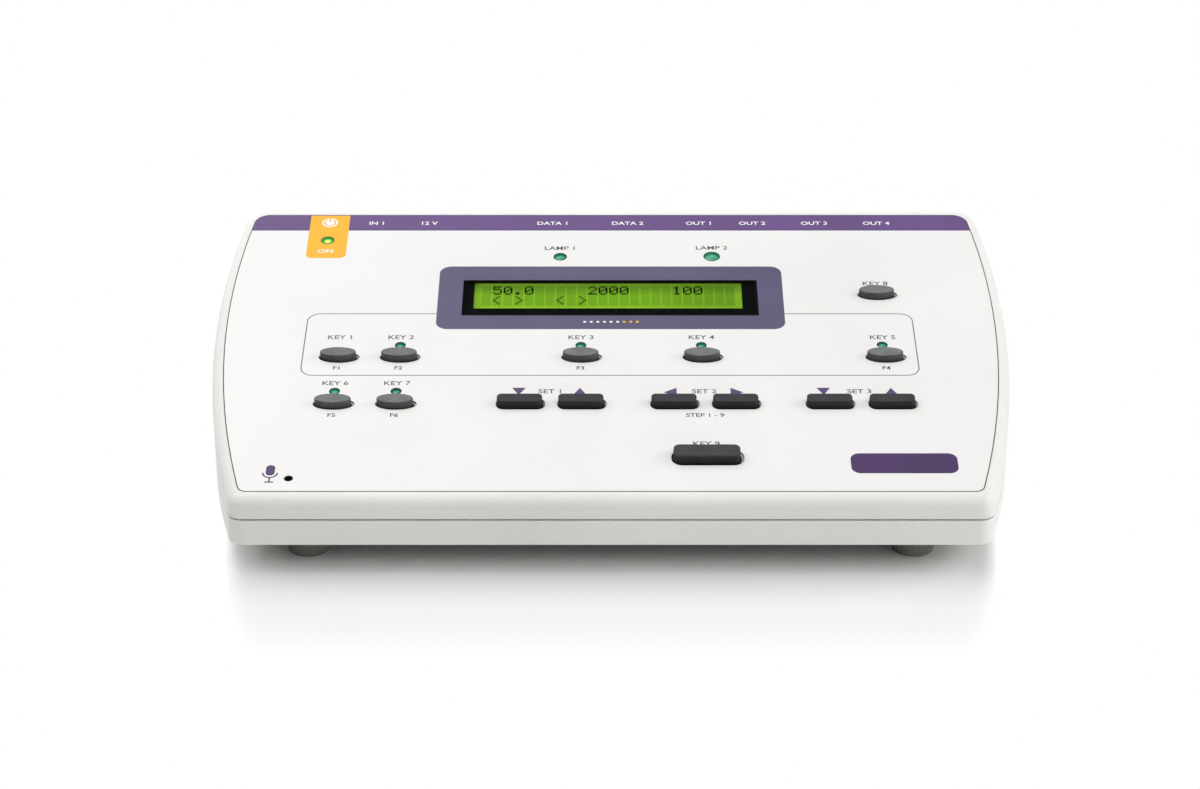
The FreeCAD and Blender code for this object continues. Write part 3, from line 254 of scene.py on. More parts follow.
# nickel plate on turned brass: bright, with the lathe's fine rings left along Y
nickelPlate = finish("nickelPlate", {"dark": "B9B7B0", "light": "CFCDC6", "rough": (0.18, 0.3),
                                     "grain": 0.5, "patch": 4, "depth": 0.004, "stretch": (1, 6, 1)},
                     {"Metallic": 1.0})
# tin-plated steel sheet: dull silver, rolled lengthways
tinPlate = finish("tinPlate", {"dark": "A9A9A8", "light": "BDBDBB", "rough": (0.3, 0.42),
                               "grain": 0.8, "patch": 5, "depth": 0.003, "stretch": (6, 1, 6)},
                  {"Metallic": 1.0})
# zinc-plated screw steel: greyer, mottled plating
zincPlate = finish("zincPlate", {"dark": "9A9B98", "light": "B4B5B0", "rough": (0.3, 0.45),
                                 "grain": 0.5, "patch": 2, "depth": 0.004}, {"Metallic": 1.0})
# drawn aluminium can of the microphone
drawnAluminium = finish("drawnAluminium", {"dark": "5B5B56", "light": "77776F", "rough": (0.35, 0.5),
                                           "grain": 0.4, "patch": 2, "depth": 0.004}, {"Metallic": 0.8})
# epoxy glass board under green solder mask: the weave shows as a faint mottling
solderMask = finish("solderMask", {"dark": "0B4A26", "light": "12592F", "rough": (0.3, 0.45),
                                   "grain": 0.9, "patch": 20, "depth": 0.01})
# moulded chip packages
chipEpoxy = finish("chipEpoxy", {"dark": "18181A", "light": "222224", "rough": (0.55, 0.7),
                                 "grain": 0.3, "patch": 3, "depth": 0.01})
# ribbon cable's PVC: its conductors show as ribs across X
ribbonPvc = finish("ribbonPvc", {"dark": "8E8F93", "light": "A4A5A8", "rough": (0.45, 0.6),
                                 "grain": 1.27, "patch": 10, "depth": 0.05, "stretch": (1, 0.05, 0.05)})
# acrylic light guide, milky
milkyAcrylic = finish("milkyAcrylic", {"dark": "CBD79A", "light": "DCE6B0", "rough": (0.3, 0.4),
                                       "grain": 1.0, "patch": 15, "depth": 0.002})


def clearSheet():
    # clear polycarbonate window with a hard coat that kills its reflection: seen through, nearly no colour
    material, tree, shader = startMaterial("clearPolycarbonate", {"Alpha": 0.006, "IOR": 1.58,
                                                                  "Specular IOR Level": 0.1})
    addGrain(tree, shader, {"dark": "4E5452", "light": "5C6260", "rough": (0.08, 0.14), "grain": 0.6,
                            "patch": 20, "depth": 0.001})
    return material


# how the glass darkens towards its edges, in mm of x or s: the dark edge, where the darkening ends, and the level
# left at the edge
glassFade = {"back": (119.4, 111.0, 0.5), "left": (-47.5, -43.5, 0.72), "right": (45.3, 5.0, 0.78)}


def litGlass(name, dark, light, glow):
    # liquid crystal glass over a green light guide: darker along its edges
    material, tree, shader = startMaterial(name, {"Emission Strength": glow, "Specular IOR Level": 0.08})
    grain = addGrain(tree, shader, {"dark": dark, "light": light, "rough": (0.4, 0.5), "grain": 0.5,
                                    "patch": 14, "depth": 0.001})
    slope = addNode(tree, "VectorMath", {"operation": "DOT_PRODUCT", 1: upSlope},
                    {0: grain["place"]}).outputs["Value"]
    across = addNode(tree, "SeparateXYZ", links={0: grain["place"]}).outputs[0]
    lit = None
    for way, (edge, inside, dim) in glassFade.items():
        along, shift = (slope, panelCorner.dot(upSlope)) if way == "back" else (across, 0)
        near = addNode(tree, "MapRange", {"interpolation_type": "SMOOTHSTEP", "From Min": edge * mm + shift,
                                          "From Max": inside * mm + shift, "To Min": dim},
                       {"Value": along}).outputs[0]
        lit = near if lit is None else addNode(tree, "Math", {"operation": "MULTIPLY"},
                                               {0: lit, 1: near}).outputs[0]
    shade = addNode(tree, "VectorMath", {"operation": "SCALE"}, {0: grain["tone"], "Scale": lit}).outputs[0]
    for socket in ("Base Color", "Emission Color"):
        tree.links.new(shade, shader.inputs[socket])
    return material


def tintedLens(name, dark, light, glow):
    # tinted polystyrene lens: light enters and comes back green, brighter at its rim
    sockets = {"Subsurface Weight": 0.4, "Subsurface Radius": (0.0004, 0.001, 0.0007),
               "Subsurface Scale": 1.0, "Emission Strength": glow, "IOR": 1.5}
    material, tree, shader = startMaterial(name, sockets)
    grain = addGrain(tree, shader, {"dark": dark, "light": light, "rough": (0.12, 0.22), "grain": 0.9,
                                    "patch": 2, "depth": 0.01})
    tree.links.new(grain["tone"], shader.inputs["Emission Color"])
    return material


clearPolycarbonate = clearSheet()
crystalField = litGlass("crystalField", "70A214", "7AAB1A", 0.30)
crystalCell = litGlass("crystalCell", "5E8E0B", "67980E", 0.28)
# a dot that is switched on: no light comes through, and no sheen
crystalDot = finish("crystalDot", {"dark": "040602", "light": "0A0D05", "rough": (0.5, 0.6),
                                   "grain": 0.3, "patch": 5, "depth": 0.001}, {"Specular IOR Level": 0.01})
greenLens = tintedLens("greenLens", "2E8E6C", "46A884", 0.12)

# how the lit lens fades from its middle, in mm from there
litFade = {"from": 0.2, "to": 1.6, "middle": "D6F04A", "rim": "379C48", "glow": 0.6}


def litPolystyrene():
    # the chip inside lights the middle of the lens yellow-green, and the tint shows at its rim
    material = tintedLens("litLens", litFade["rim"], litFade["middle"], litFade["glow"])
    tree = material.node_tree
    shader = next(n for n in tree.nodes if n.type == "BSDF_PRINCIPLED")
    middle = panelPlace @ panelMiddle("power_lamp")
    outOfLine = addNode(tree, "VectorMath", {"operation": "SUBTRACT", 1: middle},
                        {0: addNode(tree, "TexCoord").outputs["Object"]}).outputs[0]
    rise = addNode(tree, "VectorMath", {"operation": "PROJECT", 1: outOfPanel}, {0: outOfLine}).outputs[0]
    away = addNode(tree, "VectorMath", {"operation": "DISTANCE"}, {0: outOfLine, 1: rise}).outputs["Value"]
    share = addNode(tree, "MapRange", {"interpolation_type": "SMOOTHSTEP", "From Min": litFade["from"] * mm,
                                       "From Max": litFade["to"] * mm}, {"Value": away}).outputs[0]
    tone = addNode(tree, "Mix", {"data_type": "RGBA", 6: srgb(litFade["middle"]), 7: srgb(litFade["rim"])},
                   {0: share}).outputs[2]
    for socket in ("Base Color", "Emission Color"):
        tree.links.new(tone, shader.inputs[socket])
    return material


litLens = litPolystyrene()

slotMaterials = {
    "case_white": mouldedAbs, "overlay_white": velvetPolycarbonate, "window_clear": clearPolycarbonate,
    "bezel_black": blackEnamel, "display_green": crystalField, "light_guide": milkyAcrylic,
    "board_green": solderMask, "mat_rubber": matSilicone, "key_grey": greySilicone,
    "key_black": blackSilicone, "lamp_green": greenLens, "lamp_lit": litLens,
    "capsule_metal": drawnAluminium, "chip_black": chipEpoxy, "ribbon_grey": ribbonPvc,
    "plate_grey": plateAbs, "nut_nickel": nickelPlate, "socket_black": blackNylon,
    "socket_metal": tinPlate, "rocker_black": glossNylon, "foot_rubber": footRubber,
    "screw_steel": zincPlate,
}
for row in frame["record"]["subparts"]:
    dressed = nodes[row["node"]]
    if not dressed.material_slots:
        dressed.data.materials.append(None)
    for place in dressed.material_slots:
        place.material = slotMaterials[row["material_slot"]]
print("materials:", len(slotMaterials), "slots dressed")


# small helpers for new pieces

def newPiece(name, bm, material, place=panelPlace, body="case", slotName=None):
    bmesh.ops.transform(bm, matrix=place, verts=bm.verts)
    mesh = bpy.data.meshes.new(name)
    bmesh.ops.recalc_face_normals(bm, faces=bm.faces)
    bm.to_mesh(mesh)
    bm.free()
    mesh.materials.append(material)
    piece = bpy.data.objects.new(name, mesh)
    bpy.context.scene.collection.objects.link(piece)
    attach(piece, body)


def newPlate(name, bm, low, high, *rest, **more):
    # flat faces become a plate from low to high, and the plate a piece
    bmesh.ops.translate(bm, verts=bm.verts, vec=(0, 0, low))
    grown = bmesh.ops.extrude_face_region(bm, geom=list(bm.faces))
    top = [v for v in grown["geom"] if isinstance(v, bmesh.types.BMVert)]
    bmesh.ops.translate(bm, verts=top, vec=(0, 0, high - low))
    newPiece(name, bm, *rest, **more)


def flatFace(bm, corners):
    return bm.faces.new([bm.verts.new((x, s, 0)) for x, s in corners])


def tile(bm, x0, x1, s0, s1):
    return flatFace(bm, [(x0, s0), (x1, s0), (x1, s1), (x0, s1)])


def bevelCorners(bm, corners, radius, steps=8):
    bmesh.ops.bevel(bm, geom=corners, offset=radius, offset_type="OFFSET", segments=steps, profile=0.5,
                    affect="VERTICES", material=-1)


def roundedFace(bm, x0, x1, s0, s1, radius, steps=8):
    face = tile(bm, x0, x1, s0, s1)
    before = set(bm.faces)
    before.discard(face)
    bevelCorners(bm, list(face.verts), radius, steps)
    return next(f for f in bm.faces if f not in before)


def discFace(bm, x, s, radius, steps=32):
    made = bmesh.ops.create_circle(bm, cap_ends=True, segments=steps, radius=radius,
                                   matrix=Matrix.Translation((x, s, 0)))
    return made["verts"][0].link_faces[0]


def cutOut(bm, outer, inner):
    # turns two faces, one inside the other, into the band between them
    edges = list(outer.edges) + list(inner.edges)
    bmesh.ops.delete(bm, geom=[outer, inner], context="FACES_ONLY")
    bmesh.ops.triangle_fill(bm, use_beauty=True, edges=edges, normal=(0, 0, 1))


def bisect(bm, place, way, **more):
    bmesh.ops.bisect_plane(bm, geom=bm.verts[:] + bm.edges[:] + bm.faces[:], plane_co=place, plane_no=way,
                           **more)


capShare = 0.729      # height of a capital letter at a font size of 1
boldness = {"dark": 0.010, "white": 0.018}      # added to each side of a stroke, at a font size of 1


def addLetters(bm, text, x, y, capHeight, widen, low, high, bold="dark"):
    curve = bpy.data.curves.new("letters", "FONT")
    curve.body = text
    curve.align_x = "CENTER"
    curve.extrude = 0.5
    curve.resolution_u = 4
    curve.offset = boldness[bold]
    holder = bpy.data.objects.new("letters", curve)
    bpy.context.scene.collection.objects.link(holder)
    bpy.context.view_layer.update()
    mesh = bpy.data.meshes.new_from_object(holder)
    scale = capHeight / capShare
    mesh.transform(Matrix.Translation((x, y - capHeight / 2, (low + high) / 2))
                   @ Matrix.Diagonal((scale * widen, scale, high - low, 1)))
    bm.from_mesh(mesh)
    bpy.data.meshes.remove(mesh)
    bpy.data.objects.remove(holder)
    bpy.data.curves.remove(curve)


# Inks lie on the overlay in layers, in mm over its face; each starts a little inside what is under it.
inkRoot = -0.01
inkOverlap = 0.005
inkLayers = {"line": 0.02, "band": 0.03, "tab": 0.045, "letters": 0.06}


# the printed overlay

weld = {"same": 0.001, "short": 0.02}      # in mm: points this close are one, and edges this short go
facing = 0.9      # least cosine between a face's normal and the way it should look
strip = {"frontS": 151.2}


def sheetFront(bm):
    # the front faces of the overlay
    bm.from_mesh(nodes["panel_overlay"].data)
    bmesh.ops.transform(bm, matrix=toPanel, verts=bm.verts)
    bmesh.ops.remove_doubles(bm, verts=bm.verts, dist=weld["same"])
    bm.normal_update()
    bmesh.ops.delete(bm, geom=[f for f in bm.faces if f.normal.z < facing], context="FACES")


def overlaySheet(bm):
    # one flat face with the overlay's outline
    sheetFront(bm)
    start = min(bm.verts, key=lambda v: v.co.y)
    outer = {start}
    while True:
        more = {e.other_vert(v) for v in outer for e in v.link_edges if e.is_boundary} - outer
        if not more:
            break
        outer |= more
    edges = [e for e in bm.edges if e.is_boundary and e.verts[0] in outer]
    bmesh.ops.delete(bm, geom=bm.faces[:], context="FACES_ONLY")
    bmesh.ops.delete(bm, geom=[e for e in bm.edges if e not in edges], context="EDGES")
    bmesh.ops.dissolve_degenerate(bm, dist=weld["short"], edges=bm.edges)
    made = bmesh.ops.contextual_create(bm, geom=bm.edges[:])
    for v in bm.verts:
        v.co.z = 0
    return made["faces"][0]


def violetStrip():
    bm = bmesh.new()
    overlaySheet(bm)
    bisect(bm, (0, strip["frontS"], 0), (0, -1, 0), clear_outer=True)
    newPlate("violetStrip", bm, inkRoot, inkLayers["band"], violetInk)


# painted shade: a dark band fills the gap round the sheet and reaches a little over its rim, in mm
gapShade = {"out": 0.17, "overSides": 0.13, "overEnds": 0.02, "low": -0.38, "high": 0.012}


def gapShadeLine():
    bm = bmesh.new()
    sheet = overlaySheet(bm)
    low, high = panelBox("panel_overlay")
    middle = (low + high) / 2
    half = high - middle
    copy = bmesh.ops.duplicate(bm, geom=list(sheet.verts) + list(sheet.edges) + [sheet])["geom"]
    wider = [v for v in copy if isinstance(v, bmesh.types.BMVert)]
    about = Matrix.Translation((-middle.x, -middle.y, 0))
    bmesh.ops.scale(bm, vec=(1 + gapShade["out"] / half.x, 1 + gapShade["out"] / half.y, 1), verts=wider,
                    space=about)
    bmesh.ops.scale(bm, vec=(1 - gapShade["overSides"] / half.x, 1 - gapShade["overEnds"] / half.y, 1),
                    verts=list(sheet.verts), space=about)
    cutOut(bm, next(f for f in copy if isinstance(f, bmesh.types.BMFace)), sheet)
    newPlate("gapShadeLine", bm, gapShade["low"], gapShade["high"], gapShadeAcrylic)


# a dark ring of painted shade stands in each key's hole in the sheet, in mm; a hole lies within its key's box and
# the margins
keyHoleShade = {"reach": 0.16, "low": -0.38, "high": -0.03, "margin": 1, "frontMargin": 1.5}


def keyHoleShadeRing():
    holes = bmesh.new()
    sheetFront(holes)
    edge = {v for e in holes.edges if e.is_boundary for v in e.verts}
    bm = bmesh.new()
    for key in [name for name in nodes if name.endswith("_key")]:
        low, high = panelBox(key)
        spot = (low + high) / 2
        near = [v.co for v in edge if low.x - keyHoleShade["margin"] < v.co.x < high.x + keyHoleShade["margin"]
                and low.y - keyHoleShade["frontMargin"] < v.co.y < high.y + keyHoleShade["margin"]]
        ring = sorted(near, key=lambda c: math.atan2(c.y - spot.y, c.x - spot.x))
        outer = flatFace(bm, [(c.x, c.y) for c in ring])
        low, high = (Vector((pick(c.x for c in ring), pick(c.y for c in ring), 0)) for pick in (min, max))
        half, middle = (high - low) / 2, (high + low) / 2
        shrink = [1 - keyHoleShade["reach"] / half[i] for i in range(2)]
        inner = flatFace(bm, [[middle[i] + (c[i] - middle[i]) * shrink[i] for i in range(2)] for c in ring])
        cutOut(bm, outer, inner)
    holes.free()
    # painted shade in the keys' holes
    newPlate("keyHoleShadeRing", bm, keyHoleShade["low"], keyHoleShade["high"], holeShadeSilicone)


# The slate print leaves an opening a little out of line with the clear sheet, and a black border fills it in:
# two x, two s and the corner's radius of each.
surround = {"outer": (-59.8, 59.5, 91.4, 128.7, 4.0), "opening": (-51.3, 50.75, 99.3, 120.4, 0.6),
            "border": (-51.1, 49.9, 100.1, 119.6, 0.1)}


def displaySurround():
    for name, outer, inner, layer, ink in (("displaySurround", "outer", "opening", "band", slateInk),
                                           ("displayBorder", "opening", "border", "line", denseInk)):
        bm = bmesh.new()
        cutOut(bm, roundedFace(bm, *surround[outer]), roundedFace(bm, *surround[inner]))
        newPlate(name, bm, inkRoot, inkLayers[layer], ink)


# black seal in the window's edge: how far it reaches in over the clear sheet, in mm
windowSeal = {"reach": 0.3, "out": 0.04, "rise": -0.02, "radius": 0.6}


def windowEdge():
    bm = bmesh.new()
    low, high = panelBox("display_window")
    out, reach = windowSeal["out"], windowSeal["reach"]
    outer = roundedFace(bm, low.x - out, high.x + out, low.y - out, high.y + out, windowSeal["radius"])
    inner = roundedFace(bm, low.x + reach, high.x - reach, low.y + reach, high.y - reach, reach)
    cutOut(bm, outer, inner)
    newPlate("windowEdge", bm, low.z - inkRoot, high.z + windowSeal["rise"], denseInk)


tab = {"x": (-107.6, -93.6), "s": (134.0, 160.7), "radius": 2.3, "lampRing": 2.4,
       "word": {"text": "ON", "shift": (-0.3, -6.7), "size": 2.2, "widen": 1.2}}


def powerTab():
    bm = bmesh.new()
    face = tile(bm, *tab["x"], *tab["s"])
    bevelCorners(bm, [v for v in face.verts if v.co.y < sum(tab["s"]) / 2], tab["radius"])
    outer = bm.faces[:][0]
    lamp = panelMiddle("power_lamp")
    cutOut(bm, outer, discFace(bm, lamp.x, lamp.y, tab["lampRing"]))
    newPlate("powerTab", bm, inkRoot, inkLayers["tab"], amberInk)


outline = {"x": (-103.7, 103.0), "s": (65.2, 100.3), "radius": 4.2, "width": 0.38, "under": 0.5, "steps": 12}


def keyOutline():
    bm = bmesh.new()
    half = outline["width"] / 2
    x0, x1 = outline["x"]
    s0, s1 = outline["s"]
    outer, inner = (roundedFace(bm, x0 - out, x1 + out, s0 - out, s1 + out, outline["radius"] + out,
                                outline["steps"]) for out in (half, -half))
    cutOut(bm, outer, inner)
    # the line stops under the display's surround
    left, right, front = surround["outer"][:3]
    low, high = left + outline["under"], right - outline["under"]
    for x in (low, high):
        bisect(bm, (x, 0, 0), (1, 0, 0))
    middles = {f: f.calc_center_median() for f in bm.faces}
    bmesh.ops.delete(bm, geom=[f for f, m in middles.items() if low < m.x < high and m.y > front],
                     context="FACES")
    newPlate("keyOutline", bm, inkRoot, inkLayers["line"], mauveInk)


# arrows over the six bar keys: sideways shift from the key's middle, and which way they point
arrows = {"width": {"down": 4.5, "up": 4.5, "left": 4.9, "right": 4.9}, "top": 58.3,
          "keys": {"level_down_key": (-0.4, "down"), "level_up_key": (-0.4, "up"),
                   "pitch_down_key": (-1.1, "left"), "pitch_up_key": (0.7, "right"),
                   "masking_down_key": (-1.6, "down"), "masking_up_key": (0.2, "up")}}


def violetArrows():
    bm = bmesh.new()
    for key, (shift, way) in arrows["keys"].items():
        wide = arrows["width"][way] / 2
        tall = wide * math.sqrt(3)
        shapes = {"down": [(0, -tall), (wide, 0), (-wide, 0)], "up": [(-wide, -tall), (wide, -tall), (0, 0)],
                  "left": [(-tall / 2, -wide), (tall / 2, -2 * wide), (tall / 2, 0)],
                  "right": [(tall / 2, -wide), (-tall / 2, 0), (-tall / 2, -2 * wide)]}
        x = panelMiddle(key).x + shift
        flatFace(bm, [(x + dx, arrows["top"] + ds) for dx, ds in shapes[way]])
    newPlate("violetArrows", bm, inkRoot, inkLayers["band"], plumInk)


# a plain violet plate where a name would stand
blank = {"x": (76.9, 111.2), "s": (13.2, 23.4), "radius": 3.0, "steps": 10}


def blankPlate():
    bm = bmesh.new()
    roundedFace(bm, *blank["x"], *blank["s"], blank["radius"], blank["steps"])
    newPlate("blankPlate", bm, inkRoot, inkLayers["band"], deepVioletInk)


# microphone sign beside its hole, all in mm; the body's ends are not quite half circles
microphoneSign = {"x": -108.8, "body": (12.05, 17.25), "bodyWidth": 2.9, "endFlat": 0.05,
                  "cradleRadius": 2.35, "cradleMiddle": 13.35, "cradleSteps": 16, "foot": 8.7,
                  "footWidth": 3.0, "stroke": 0.52}


def microphoneMark():
    bm = bmesh.new()
    m = microphoneSign
    x, foot, turn = m["x"], m["foot"], m["cradleMiddle"]
    half, wide, footHalf = m["stroke"] / 2, m["bodyWidth"] / 2, m["footWidth"] / 2
    roundedFace(bm, x - wide, x + wide, *m["body"], wide - m["endFlat"])
    ends = [bm.verts.new((x - m["cradleRadius"] - d, turn, 0)) for d in (half, -half)]
    bar = bm.edges.new(ends)
    bmesh.ops.spin(bm, geom=ends + [bar], cent=(x, turn, 0), axis=(0, 0, 1), angle=math.pi,
                   steps=m["cradleSteps"])
    tile(bm, x - half, x + half, foot, turn - m["cradleRadius"])
    tile(bm, x - footHalf, x + footHalf, foot - half, foot + half)
    newPlate("microphoneMark", bm, inkRoot, inkLayers["band"], deepVioletInk)


# white disc with a standby ring and bar in amber on it, in mm and degrees
standby = {"x": -100.6, "s": 156.1, "disc": 2.85, "discSteps": 48, "ring": (1.7, 2.22), "ringSteps": 36,
           "opening": 54, "barWidth": 0.52, "bar": (0.4, 2.95), "rise": 0.015}


def standbyMark():
    x, s = standby["x"], standby["s"]
    bm = bmesh.new()
    discFace(bm, x, s, standby["disc"], standby["discSteps"])
    newPlate("standbyDisc", bm, inkLayers["tab"] - inkOverlap, inkLayers["letters"], whiteInk)
    bm = bmesh.new()
    turn = math.radians(standby["opening"] / 2)
    ends = [bm.verts.new((x + r * math.sin(turn), s + r * math.cos(turn), 0)) for r in standby["ring"]]
    bar = bm.edges.new(ends)
    bmesh.ops.spin(bm, geom=ends + [bar], cent=(x, s, 0), axis=(0, 0, 1), angle=-(2 * math.pi - 2 * turn),
                   steps=standby["ringSteps"])
    half = standby["barWidth"] / 2
    tile(bm, x - half, x + half, *(s + d for d in standby["bar"]))
    newPlate("standbyRing", bm, inkLayers["letters"] - inkOverlap, inkLayers["letters"] + standby["rise"],
             amberInk)


# plain numbers and words: ink, height of a capital and offset up from the middle of the nodes named, in mm
labels = {"widen": 1.12, "rows": (
    ("grey", 2.3, 11.45, {"KEY 1": ["menu_key"], "KEY 2": ["pulse_key"], "KEY 3": ["mask_key"],
                          "KEY 4": ["boost_key"], "KEY 5": ["bone_key"], "KEY 6": ["left_key"],
                          "KEY 7": ["right_key"]}),
    ("black", 1.95, -5.95, {"F1": ["menu_key"], "F2": ["pulse_key"], "F3": ["mask_key"], "F4": ["bone_key"],
                            "F5": ["left_key"], "F6": ["right_key"],
                            "STEP 1 - 9": ["pitch_down_key", "pitch_up_key"]}),
    ("grey", 2.3, 6.95, {"SET 1": ["level_down_key", "level_up_key"],
                         "SET 2": ["pitch_down_key", "pitch_up_key"],
                         "SET 3": ["masking_down_key", "masking_up_key"]}),
    ("grey", 2.3, 5.4, {"LAMP 1": ["tone_lamp"], "LAMP 2": ["response_lamp"]}),
    ("grey", 2.3, 6.95, {"KEY 8": ["talk_key"]}),
    ("grey", 2.3, 7.45, {"KEY 9": ["tone_key"]}))}


def panelLettering():
    inks = {"grey": (bmesh.new(), greyInk), "black": (bmesh.new(), blackInk)}
    for ink, size, up, words in labels["rows"]:
        for text, names in words.items():
            spot = sum((panelMiddle(name) for name in names), Vector()) / len(names)
            addLetters(inks[ink][0], text, spot.x, spot.y + up, size, labels["widen"], inkRoot,
                       inkLayers["line"])
    for ink, (bm, material) in inks.items():
        newPiece(ink + "Lettering", bm, material)


# numbers for the sockets behind, along the strip
socketNames = {"s": 155.9, "size": 2.1, "widen": 1.15,
               "names": {"response_jack": "IN 1", "dc_inlet": "12 V", "data_socket": "DATA 1",
                         "serial_socket": "DATA 2", "insert_jack": "OUT 1", "bone_jack": "OUT 2",
                         "left_jack": "OUT 3", "right_jack": "OUT 4"}}


def stripLettering():
    bm = bmesh.new()
    for node, text in socketNames["names"].items():
        addLetters(bm, text, panelMiddle(node).x, socketNames["s"], socketNames["size"], socketNames["widen"],
                   inkLayers["band"] - inkOverlap, inkLayers["tab"], bold="white")
    lamp, word = panelMiddle("power_lamp"), tab["word"]
    addLetters(bm, word["text"], lamp.x + word["shift"][0], lamp.y + word["shift"][1], word["size"],
               word["widen"], inkLayers["tab"] - inkOverlap, inkLayers["letters"], bold="white")
    newPiece("whiteLettering", bm, whiteInk)


# a dotted rule under the window, white and then amber
dots = {"s": 95.6, "x": (-9.0, 9.0), "count": 9, "whites": 6, "radius": 0.55, "steps": 20}


def dottedRule():
    for name, material, picked in (("whiteDots", whiteInk, range(dots["whites"])),
                                   ("amberDots", amberInk, range(dots["whites"], dots["count"]))):
        bm = bmesh.new()
        step = (dots["x"][1] - dots["x"][0]) / (dots["count"] - 1)
        for i in picked:
            discFace(bm, dots["x"][0] + i * step, dots["s"], dots["radius"], dots["steps"])
        newPlate(name, bm, inkLayers["band"] - inkOverlap, inkLayers["tab"], material)


violetStrip()
gapShadeLine()
keyHoleShadeRing()
displaySurround()
windowEdge()
powerTab()
keyOutline()
violetArrows()
blankPlate()
microphoneMark()
standbyMark()
panelLettering()
stripLettering()
dottedRule()
print("overlay printed")


# painted shade rings round the lamps; felt, and a tube of painted shade, in the microphone's hole

# in mm; the radii are of each lamp's lens and of its hole, as drawn in the panel
lampRings = {"low": -0.6, "high": -0.015, "gap": 0.01, "width": 0.34, "flangeTop": -0.05, "steps": 40,
            "radii": {"power_lamp": (1.95, 2.4), "tone_lamp": (2.0, 2.4), "response_lamp": (2.5, 2.95)},
            "small": (1.5, 1.85)}


def lampShadeRings():
    shadeRings = bmesh.new()
    steps = lampRings["steps"]
    for lamp in [name for name in nodes if name.endswith("_lamp")]:
        lens, hole = lampRings["radii"].get(lamp, lampRings["small"])
        spot = panelMiddle(lamp)
        rim = hole - lampRings["width"]
        # painted shade: a dark ring in the gap round each lens
        cutOut(shadeRings, discFace(shadeRings, spot.x, spot.y, hole - lampRings["gap"], steps),
               discFace(shadeRings, spot.x, spot.y, rim, steps))
        flange = bmesh.new()
        cutOut(flange, discFace(flange, spot.x, spot.y, rim, steps),
               discFace(flange, spot.x, spot.y, lens - lampRings["gap"], steps))
        newPlate(lamp.replace("_lamp", "Flange"), flange, lampRings["low"], lampRings["flangeTop"],
                 nodes[lamp].material_slots[0].material,
                 slotName="lamp_lit" if lamp == "power_lamp" else "lamp_green")
    newPlate("lampShadeRings", shadeRings, lampRings["low"], lampRings["high"], blackFeltAndShade)


# in mm: a felt disc on the capsule, and over it a dark tube of painted shade lining the hole, with an outer and an
# inner radius
felt = {"radius": 1.4, "thickness": 0.3, "shadeSleeve": (1.49, 1.25), "shadeSleeveTop": -0.12}


def microphoneFelt():
    spot = panelMiddle("microphone")
    top = panelBox("microphone")[1].z
    bm = bmesh.new()
    discFace(bm, spot.x, spot.y, felt["radius"])
    newPlate("microphoneFelt", bm, top + inkRoot, top + felt["thickness"], blackFeltAndShade)
    bm = bmesh.new()
    cutOut(bm, *(discFace(bm, spot.x, spot.y, radius) for radius in felt["shadeSleeve"]))
    # painted shade: a dark tube lining the microphone's hole
    newPlate("microphoneHoleShade", bm, top + felt["thickness"] + inkRoot, felt["shadeSleeveTop"], blackNylon)


lampShadeRings()
microphoneFelt()
print("seals and felt set")


# the display's cells and dots

# characters of 5 by 8 dots, in mm
reading = {"columns": 24, "rows": 2, "dots": (5, 8), "pitch": 3.66, "rowPitch": 5.9, "left": -44.6,
           "middle": 112.1, "dot": (0.61, 0.69), "dotPitch": (0.63, 0.71), "lift": 0.02, "film": 0.5,
           "text": {(0, 1): "50.0", (0, 10): "2000", (0, 18): "100", (1, 1): "<", (1, 3): ">",
                    (1, 7): "<", (1, 9): ">"}}
glyphs = {"0": "01110 10001 10011 10101 11001 10001 01110", "1": "00100 01100 00100 00100 00100 00100 01110",
          "2": "01110 10001 00001 00010 00100 01000 11111", "5": "11111 10000 11110 00001 00001 10001 01110",
          ".": "00000 00000 00000 00000 00000 01100 01100", "<": "00010 00100 01000 10000 01000 00100 00010",
          ">": "01000 00100 00010 00001 00010 00100 01000"}


def cellCorner(row, column):
    # upper left corner of a character's dots
    x = reading["left"] + column * reading["pitch"]
    s = (reading["middle"] + (0.5 - row) * reading["rowPitch"]
         + (reading["dots"][1] - 1) / 2 * reading["dotPitch"][1])
    return x, s


def filmTop():
    return panelBox("display_glass")[1].z + reading["film"]


# the glass's polarising film, which stands up in the bezel's opening; sizes in mm
polariser = {"length": 92.76, "width": 15.76, "right": 0.32}


def displayFilm():
    bm = bmesh.new()
    low, high = panelBox("display_bezel")
    x, s = (low.x + high.x) / 2 + polariser["right"], (low.y + high.y) / 2
    tile(bm, x - polariser["length"] / 2, x + polariser["length"] / 2,
         s - polariser["width"] / 2, s + polariser["width"] / 2)
    glass = panelBox("display_glass")[1].z
    newPlate("displayFilm", bm, glass + inkRoot, filmTop(), crystalField, slotName="display_green")


# the can's front edge is rolled in over the film, in mm
rolledLip = {"x": (-47.9, 45.7), "s": (103.3, 104.28), "low": -1.14, "high": -0.545}


def displayLip():
    bm = bmesh.new()
    tile(bm, *rolledLip["x"], *rolledLip["s"])
    newPlate("displayLip", bm, rolledLip["low"], rolledLip["high"], blackEnamel, slotName="bezel_black")


def displayCells():
    bm = bmesh.new()
    wide, tall = ((count - 1) * pitch + dot for count, pitch, dot
                  in zip(reading["dots"], reading["dotPitch"], reading["dot"]))
    for row in range(reading["rows"]):
        for column in range(reading["columns"]):
            x, s = cellCorner(row, column)
            tile(bm, x, x + wide, s - tall, s)
    film = filmTop()
    newPlate("displayCells", bm, film + inkRoot, film + reading["lift"], crystalCell, slotName="display_green")


